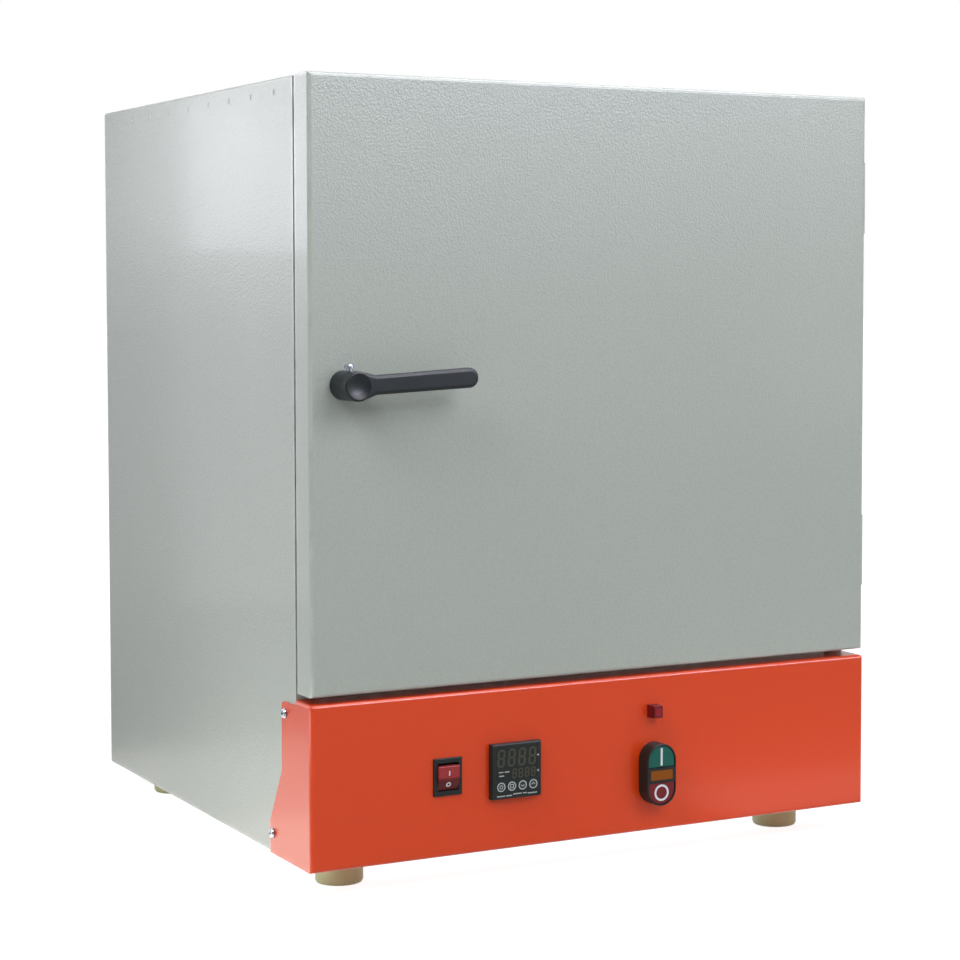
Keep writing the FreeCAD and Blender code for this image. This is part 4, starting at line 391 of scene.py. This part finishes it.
def lens(name, tone, ribs, shine, varnish, part):
    """Clear tinted plastic over ribs; on a part the lower half gets painted shade."""
    tinted = Finish(name, {"Coat Weight": varnish, "Coat Roughness": GLASS_ROUGHNESS,
                           "Specular IOR Level": shine})
    rib = tinted.node("ShaderNodeTexWave", {"bands_direction": "X"},
                      {"Vector": tinted.place(), "Scale": ribs, "Distortion": RIB_WAVER})
    depth = tinted.noise(DEPTH_SCALE)
    glow = tinted.mix(rib, *(shaded(tone, shade) for shade in RIB_SHADES))
    # Painted shade: the lower half of the part is darkened to a share of its tone.
    if part:
        low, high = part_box(part)
        middle = (low.z + high.z) / 2
        lit_upper_half = tinted.place().along("Z").between(middle - PAINTED_SHADE_FADE, middle + PAINTED_SHADE_FADE)
        glow = tinted.mix(lit_upper_half, shaded(tone, PAINTED_LOW_SHADE), glow)
    clear, cloudy = DEPTH_ROUGHNESS
    return tinted.wear(Base_Color=tinted.mix(depth * DEPTH_SHARE, glow,
                                             shaded(tone, DEPTH_SHADE)),
                       Roughness=clear + cloudy * depth)


for slot, (name, tone, *settings) in LENSES.items():
    finishes[slot] = lens(name, colour(*tone), *settings)
print("lenses", sorted(LENSES))

# %% [markdown]
# ## Mineral wool
# The slabs round the chamber are pressed fibres. Two stretched noises laid across each other
# look like fibres lying every way, and they also roughen the surface.

# %% Wool
FIBRE_SCALE = 420.0
FIBRE_STRETCH = 0.15
FIBRE_SHARE = 1.8
FIBRE_DEPTH = 0.0012
CLUMP_SCALE = 30.0


def mineral_wool():
    """Pressed fibres that lie every way, in clumps."""
    wool = Finish("pressed_mineral_wool", {"Roughness": 0.95, "Sheen Weight": 0.3})
    along = wool.noise(FIBRE_SCALE, 4.0, (FIBRE_STRETCH, 1, 1))
    across = wool.noise(FIBRE_SCALE, 4.0, (1, 1, FIBRE_STRETCH))
    clumps = wool.noise(CLUMP_SCALE, detail=3.0)
    fibres = wool.mix(along * across * FIBRE_SHARE, colour(132, 112, 66), colour(214, 196, 140))
    shade = wool.mix(clumps, colour(150, 130, 84), fibres)
    return wool.wear(Base_Color=shade, Normal=wool.bump(along + across, FIBRE_DEPTH))


finishes["mineral_wool"] = mineral_wool()
print("wool ready")

# %% [markdown]
# ## Dressing the solids
# Every solid names a material slot in its record, so the table from slots to finishes dresses
# the whole model, apart from the painted parts and the lamp, and each mesh stays as packed.

# %% Dress the solids
slot_of = {part["node"]: part["material_slot"] for part in frame["record"]["subparts"]}
special = {**painted, "pilot_lamp": finishes["dark_lens"]}
for name, node in nodes.items():
    finish = special[name] if name in special else finishes[slot_of[name]]
    node.material_slots[0].material = finish.material
print("dressed", len(nodes), "solids")

# %% [markdown]
# ## Flat shapes for printed marks
# Marks on the controls are a few hundredths of a millimetre of ink or inlay. Each starts as a
# circle or a few points on a plane, gets its outline from operators, and is extruded to a real
# thickness so that it casts no false shadow and never flickers with the face under it.

# %% Shapes
INK = 0.00006
HOOP_SIDES = 56
UPRIGHT = Matrix.Rotation(math.radians(90), 4, "X")


def thicken(shape, thickness):
    """Raise flat faces to a thin slab and point its faces outwards."""
    raised = bmesh.ops.extrude_face_region(shape, geom=shape.faces[:])
    lifted = [item for item in raised["geom"] if isinstance(item, bmesh.types.BMVert)]
    bmesh.ops.translate(shape, verts=lifted, vec=(0, 0, thickness))
    bmesh.ops.recalc_face_normals(shape, faces=shape.faces[:])
    return shape


def bar(width, height, thickness=INK):
    """An upright bar round the origin."""
    shape = bmesh.new()
    bmesh.ops.create_grid(shape, x_segments=1, y_segments=1, size=0.5)
    bmesh.ops.scale(shape, vec=(width, height, 1), verts=shape.verts[:])
    return thicken(shape, thickness)


def hoop(outer, inner):
    """A flat ring round the origin."""
    shape = bmesh.new()
    rims = []
    for radius in (outer, inner):
        made = bmesh.ops.create_circle(shape, segments=HOOP_SIDES, radius=radius)
        rims += [edge for edge in shape.edges if edge.verts[0] in made["verts"]]
    bmesh.ops.bridge_loops(shape, edges=rims)
    return thicken(shape, INK)


def polygon(corners):
    """A flat outline through a few points."""
    shape = bmesh.new()
    shape.faces.new([shape.verts.new((x, y, 0)) for x, y in corners])
    return thicken(shape, INK)


def joined(*shapes):
    """Several shapes in one bmesh."""
    whole = bmesh.new()
    for shape, matrix in shapes:
        shape.transform(matrix)
        carrier = bpy.data.meshes.new("carrier")
        shape.to_mesh(carrier)
        shape.free()
        whole.from_mesh(carrier)
        bpy.data.meshes.remove(carrier)
    return whole


def front(name):
    """The middle of a node's front face."""
    low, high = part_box(name)
    return Vector(((low.x + high.x) / 2, low.y, (low.z + high.z) / 2))


def at(face, x=0.0, z=0.0):
    """A place on a front face, with the shape's thickness towards -Y."""
    return Matrix.Translation((face.x + x, face.y, face.z + z)) @ UPRIGHT


def piece(name, shape, finish, body):
    """Make a bmesh a shown piece that wears a finish of the table and rides on a body."""
    mesh = bpy.data.meshes.new(name)
    shape.to_mesh(mesh)
    shape.free()
    mesh.materials.append(finishes[finish].material)
    made = bpy.data.objects.new(name, mesh)
    scene.collection.objects.link(made)
    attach(made, body)
    print(name, len(mesh.polygons), "faces")


# %% [markdown]
# ## Marks on the push-button
# The start cap carries a white bar and the stop cap a white ring, the signs for on and off.
# They are inlaid flush in the real caps, and here they stand a hair proud so that they show.

# %% Push-button marks
START_BAR = (0.0021, 0.0155)
START_RISE = -0.0002
STOP_RING = (0.0074, 0.0055)
STOP_RISE = 0.0005

piece("start_bar", joined((bar(*START_BAR), at(front("start_button"), z=START_RISE))),
      "white_print", "start_button")
piece("stop_ring", joined((hoop(*STOP_RING), at(front("stop_button"), z=STOP_RISE))),
      "white_print", "stop_button")

# %% [markdown]
# ## Marks on the rocker
# The rocker's two faces meet in a crest over its pivot, and the rocker rests tipped. Each mark
# lies on its own face, so the face's two end points are worked out first, in the rocker's own
# section, and then tipped with it.

# %% Rocker marks
ROCKER_TIP = math.radians(12)
ROCKER_CREST = 0.0077
ROCKER_END = 0.0057
ROCKER_HALF = 0.0109
ROCKER_BAR = (0.0010, 0.0039)
ROCKER_RING = (0.0023, 0.0012)
MARK_SHARE = 0.47
PIVOT_DEPTH = 0.003

pivot = Vector((front("rocker").x, front("control_panel").y + PIVOT_DEPTH,
                front("rocker_housing").z))


def on_rocker(direction):
    """The place of a mark on the upper or lower face of the tipped rocker."""
    reach = ROCKER_HALF * MARK_SHARE
    depth = ROCKER_CREST + (ROCKER_END - ROCKER_CREST) * MARK_SHARE
    lean = math.atan2(ROCKER_CREST - ROCKER_END, ROCKER_HALF)
    tip = Matrix.Rotation(ROCKER_TIP, 4, "X")
    spot = Matrix.Translation((0, -depth, direction * reach))
    tilt = Matrix.Rotation(-direction * lean, 4, "X")
    return Matrix.Translation(pivot) @ tip @ spot @ tilt @ UPRIGHT


piece("rocker_on_mark", joined((bar(*ROCKER_BAR), on_rocker(1))), "white_print", "rocker")
piece("rocker_off_mark", joined((hoop(*ROCKER_RING), on_rocker(-1))), "white_print", "rocker")

# %% [markdown]
# ## The pilot lamp's window
# The lamp is a small dark red block, and its face has a brighter window with a frame round it.
# The window is a flat bar with bevelled edges.

# %% Lamp window
LAMP_WINDOW = (0.0046, 0.0066)
LAMP_GLASS = 0.00012
LAMP_ROUND = 0.00008
LAMP_RISE = 0.0002

window = bar(*LAMP_WINDOW, LAMP_GLASS)
bmesh.ops.bevel(window, geom=window.edges[:], offset=LAMP_ROUND, segments=2, profile=0.5,
                affect="EDGES", material=-1)
piece("lamp_window", joined((window, at(front("pilot_lamp"), z=LAMP_RISE))),
      "bright_lens", "cabinet")

# %% [markdown]
# ## Display digits
# The unlit display shows its seven-segment digits as a paler grey in the dark window: four tall
# ones and four small ones. One segment is a bar with pointed ends, and a digit is seven of them
# placed round two squares. A shear lets the digits lean.

# %% Digits
# Width, height and stroke of a digit, then the first one's place, the pitch and the rise.
TALL_ROW = (0.0072, 0.0155, 0.0018, -0.0152, 0.0101, 0.0116)
SMALL_ROW = (0.0044, 0.0086, 0.0011, -0.0024, 0.0061, -0.0023)
ROW_COUNT = 4
DIGIT_LEAN = 0.07
SEGMENT_GAP_SHARE = 0.12


def segment(length, width):
    """A flat bar with a point at each end."""
    reach = length / 2
    shoulder = reach - width / 2
    half = width / 2
    return polygon([(-reach, 0), (-shoulder, -half), (shoulder, -half), (reach, 0),
                    (shoulder, half), (-shoulder, half)])


def digit(width, height, stroke):
    """Seven segments round two stacked squares, with a place for each."""
    gap = stroke * SEGMENT_GAP_SHARE
    across = width - stroke - gap
    up = (height - stroke) / 2 - gap
    quarter = math.radians(90)
    spots = [(0, level, across, 0) for level in
             (-(height - stroke) / 2, 0, (height - stroke) / 2)]
    spots += [(side * (width - stroke) / 2, level * (height - stroke) / 4, up, quarter)
              for side in (-1, 1) for level in (-1, 1)]
    return [(segment(length, stroke), Matrix.Translation((x, y, 0))
             @ Matrix.Rotation(turn, 4, "Z")) for x, y, length, turn in spots]


def number_row(name, width, height, stroke, left, pitch, rise):
    """A row of unlit digits that lean to the right, on the controller's window."""
    parts = []
    lean = Matrix.Identity(4)
    lean[0][1] = DIGIT_LEAN
    for place in range(ROW_COUNT):
        spot = at(screen, x=left + place * pitch, z=rise)
        parts += [(shape, spot @ lean @ matrix)
                  for shape, matrix in digit(width, height, stroke)]
    piece(name, joined(*parts), "dim_segment", "cabinet")


face = front("controller_housing")
screen = Vector((face.x, front("controller_window").y, face.z))
number_row("tall_digits", *TALL_ROW)
number_row("small_digits", *SMALL_ROW)

# %% [markdown]
# ## Marks on the controller's keys
# Each round key has a pale ring, and a sign inside it: a ring, a square, and arrows down and
# up. They are printed on the keys, so they move with them.

# %% Key marks
KEY_RING = (0.0040, 0.0031)
SIGN_REACH = 0.0017
SIGN_STROKE = 0.0006
ARROW_DROP_SHARE = 0.8
ARROW_STROKE_SHARE = 1.5
SQUARE_SHARE = 0.85


def chevron(direction):
    """An arrow head that points up or down."""
    reach = SIGN_REACH
    drop = SIGN_REACH * ARROW_DROP_SHARE
    stroke = SIGN_STROKE * ARROW_STROKE_SHARE
    return polygon([(-reach, -drop * direction / 2), (0, drop * direction / 2),
                    (reach, -drop * direction / 2),
                    (reach, (-drop / 2 + stroke) * direction),
                    (0, (drop / 2 + stroke) * direction),
                    (-reach, (-drop / 2 + stroke) * direction)])


def square_sign():
    """An open square of four strokes."""
    reach = SIGN_REACH * SQUARE_SHARE
    sides = [(bar(2 * reach + SIGN_STROKE, SIGN_STROKE), Matrix.Translation((0, level, 0)))
             for level in (-reach, reach)]
    sides += [(bar(SIGN_STROKE, 2 * reach - SIGN_STROKE), Matrix.Translation((side, 0, 0)))
              for side in (-reach, reach)]
    return joined(*sides)


signs = [lambda: hoop(SIGN_REACH, SIGN_REACH - SIGN_STROKE), square_sign,
         lambda: chevron(-1), lambda: chevron(1)]
for number, sign in enumerate(signs, start=1):
    spot = at(front(f"controller_key_{number}"))
    piece(f"key_mark_{number}", joined((hoop(*KEY_RING), spot), (sign(), spot)), "grey_print",
          f"controller_key_{number}")

# %% [markdown]
# ## Dashes on the controller
# Short dashes and two small triangles are printed beside the digits and under the keys. Each
# dash has its own place and width, so they are a table.

# %% Dashes
DASH_HEIGHT = 0.0009
# Each dash's place across and up from the middle of the face, and its width.
DASHES = [(-0.0155, -0.0004, 0.0046), (-0.0098, -0.0004, 0.0046), (-0.0150, -0.0036, 0.0048),
          (-0.0155, -0.0212, 0.0078), (-0.0078, -0.0212, 0.0056), (0.0004, -0.0202, 0.0084),
          (0.0076, -0.0202, 0.0036), (0.0150, -0.0208, 0.0092)]
TRIANGLE = [(0, 0.0011), (-0.0022, 0), (0, -0.0011)]
TRIANGLE_SPOTS = [(0.0214, 0.0118), (0.0214, -0.0018)]

legends = [(bar(width, DASH_HEIGHT), at(face, x, z)) for x, z, width in DASHES]
legends += [(polygon(TRIANGLE), at(face, x, z)) for x, z in TRIANGLE_SPOTS]
piece("controller_legends", joined(*legends), "grey_print", "cabinet")

# %% [markdown]
# ## Floor
# The object stands on a pale floor that carries its shadow. The camera sees the floor as white
# far from the object and a touch darker near it. Glossy paint mirrors it as white beside the
# object and dimmer before and behind it, where a real studio's sweep of paper is in shade.

# %% Floor
WHITE = (1, 1, 1, 1)
BLACK = (0, 0, 0, 1)
FLOOR_TONE = (0.55, 0.55, 0.54, 1)
FLOOR_REACH = 30.0
FLOOR_DROP = 0.0004
FLOOR_GLOW = (0.84, 0.84, 0.84, 1)
SHADOW_REACH = (0.7, 1.6)
SWEEP_FRONT = (-0.36, -0.16)
SWEEP_REAR = (0.34, 0.48)
SWEEP_BEYOND = 0.5
SWEEP_BEFORE = 0.3


def pale_floor():
    """A pale plane that is white to the camera, apart from the shadow near the object."""
    shape = bmesh.new()
    bmesh.ops.create_grid(shape, x_segments=1, y_segments=1, size=FLOOR_REACH)
    bmesh.ops.translate(shape, verts=shape.verts[:], vec=(0, 0, -FLOOR_DROP))
    mesh = bpy.data.meshes.new("floor")
    shape.to_mesh(mesh)
    shape.free()
    finish = Finish("pale_floor", {"Roughness": 0.9, "Base Color": FLOOR_TONE,
                                   "Specular IOR Level": 0.0, "Emission Strength": 1.0})
    place = finish.node("ShaderNodeTexCoord", {}, {}, "Object")
    away = finish.node("ShaderNodeVectorMath", {"operation": "LENGTH"}, {0: place}, "Value")
    depth = place.along("Y")
    glow = finish.mix(away.between(*SHADOW_REACH), FLOOR_GLOW, WHITE)
    shown = finish.mix(finish.ray("Camera"), BLACK, glow)
    bright = 1 - (1 - SWEEP_BEYOND) * depth.between(*SWEEP_REAR)
    beside = SWEEP_BEFORE + (1 - SWEEP_BEFORE) * depth.between(*SWEEP_FRONT)
    mirrored = finish.ray("Glossy") * bright * beside
    lit = (mirrored + finish.ray("Transmission")).least(1.0)
    finish.wear(Emission_Color=finish.mix(lit, shown, WHITE))
    mesh.materials.append(finish.material)
    made = bpy.data.objects.new("floor", mesh)
    scene.collection.objects.link(made)


pale_floor()
print("floor ready")

# %% [markdown]
# ## Lights
# The photograph was lit by large soft sources. The key light hangs over the front left, a broad
# front light and a weaker fill stand on the right, and a small low light lifts the panel's ear.
# The coat's sheen is placed apart from the matt light: a lamp of the kind sheen shows only in
# what is glossy, as a white card would, and one of the kind matt shows only in what is dull.
# The flat ones on the floor stand for the bright paper under the object.

# %% Lights
MIDDLE = (0.0, 0.0, 0.35)
PLAIN = (1, 1, 1)
COOL = (0.93, 0.92, 1.0)
SKY = (0.90, 0.91, 1.10)
WARM = (1.0, 0.95, 0.80)
# Name, place, what it faces, width, height, power, tone and kind.
LAMPS = [
    ("key_light", (-1.45, -0.85, 1.8), (-0.2, -0.2, 0.5), 0.9, 0.9, 20.6, PLAIN, "both"),
    ("front_light", (0.5, -2.3, 2.1), (0.0, -0.26, 0.6), 1.8, 1.2, 31.0, PLAIN, "both"),
    ("fill_light", (2.0, -1.6, 0.9), MIDDLE, 1.6, 1.4, 11.0, PLAIN, "both"),
    ("low_light", (-0.56, -0.20, 0.10), (-0.28, -0.22, 0.09), 0.25, 0.06, 0.24, PLAIN, "both"),
    ("top_sheen", (0.30, -0.50, 1.5), (0.1, -0.26, 0.4), 1.4, 0.9, 30.0, COOL, "sheen"),
    ("side_sheen", (-0.58, 0.42, 0.78), (-0.28, -0.2, 0.64), 0.30, 0.46, 1.55, COOL, "sheen"),
    ("side_glow", (-1.08, 1.40, 0.40), (-0.28, -0.2, 0.3), 0.6, 0.8, 2.3, COOL, "sheen"),
    ("floor_sheen", (-0.44, 0.08, 0.003), (-0.44, 0.08, 1.0), 0.30, 0.70, 0.4, WARM, "sheen"),
    ("base_sheen", (-0.37, -0.09, 0.004), (-0.37, -0.09, 1.0), 0.14, 0.25, 0.09, WARM, "sheen"),
    ("corner_sheen", (0.38, -0.42, 0.003), (0.38, -0.42, 1.0), 0.36, 0.16, 0.25, COOL, "sheen"),
    ("corner_glow", (0.20, -0.345, 0.002), (0.20, -0.345, 1.0), 0.30, 0.09, 0.05, PLAIN, "matt"),
    ("door_sheen", (1.1, -2.2, 1.4), (0.0, -0.26, 0.66), 1.7, 0.35, 66.0, SKY, "sheen"),
]


def soft_light(name, place, target, width, height, power, tone, kind):
    """A rectangular lamp that faces a target and makes sheen, matt light or both."""
    lamp = bpy.data.lights.new(name, "AREA")
    lamp.shape = "RECTANGLE"
    lamp.size, lamp.size_y, lamp.energy, lamp.color = width, height, power, tone
    made = bpy.data.objects.new(name, lamp)
    made.location = place
    made.rotation_mode = "QUATERNION"
    away = Vector(place) - Vector(target)
    made.rotation_quaternion = away.to_track_quat("Z", "Y")
    made.visible_diffuse = kind != "sheen"
    made.visible_glossy = kind != "matt"
    scene.collection.objects.link(made)


for lamp in LAMPS:
    soft_light(*lamp)
print("lights", [name for name, *_ in LAMPS])

# %% [markdown]
# ## Studio walls
# The room's walls give a dim light from all sides. The camera sees them as white, and so does
# the glossy paint where it looks past the object towards the backdrop.

# %% Studio walls
ROOM_TONE = (0.95, 0.98, 1.0, 1)
ROOM_STRENGTH = 0.25
BACKDROP = (-0.2, 0.4)


def studio_walls():
    """A dim room for the light, and white behind the object for what sees the backdrop."""
    world = bpy.data.worlds.new("studio")
    walls = Graph(world)
    direction = walls.node("ShaderNodeTexCoord", {}, {}, "Generated")
    behind = direction.along("Y").between(*BACKDROP)
    white = walls.ray("Camera") + behind * (walls.ray("Glossy") + walls.ray("Transmission"))
    room = walls.node("ShaderNodeBackground", {}, {"Color": ROOM_TONE, "Strength": ROOM_STRENGTH})
    backdrop = walls.node("ShaderNodeBackground", {}, {"Color": WHITE})
    shown = walls.node("ShaderNodeMixShader", {}, {0: white, 1: room, 2: backdrop})
    walls.node("ShaderNodeOutputWorld", {}, {"Surface": shown})
    return world


scene.world = studio_walls()
scene.view_settings.view_transform = "Standard"
print("walls ready")

# %% [markdown]
# ## Camera
# The camera stands where the photographer stood. Its place, turn and focal length come from
# fitting the cabinet's straight edges, and the picture is square.

# %% Camera
PICTURE = 960
FOCAL_PIXELS = 2332.5
CENTRE_PIXELS = (552.6, 419.5)
CAMERA_PLACE = (-1.0268, -2.0314, 0.5122)
CAMERA_TURN = 0.5035
CAMERA_DIP = 0.0565
SENSOR_WIDTH = 36.0

lens_data = bpy.data.cameras.new("camera")
lens_data.sensor_width = SENSOR_WIDTH
lens_data.lens = FOCAL_PIXELS / PICTURE * SENSOR_WIDTH
lens_data.shift_x = -(CENTRE_PIXELS[0] - PICTURE / 2) / PICTURE
lens_data.shift_y = (CENTRE_PIXELS[1] - PICTURE / 2) / PICTURE
camera = bpy.data.objects.new("camera", lens_data)
scene.collection.objects.link(camera)
camera.location = CAMERA_PLACE
gaze = Vector((math.sin(CAMERA_TURN) * math.cos(CAMERA_DIP),
               math.cos(CAMERA_TURN) * math.cos(CAMERA_DIP), -math.sin(CAMERA_DIP)))
camera.rotation_mode = "QUATERNION"
camera.rotation_quaternion = gaze.to_track_quat("-Z", "Y")
scene.camera = camera
print("camera lens", round(lens_data.lens, 2), "mm")
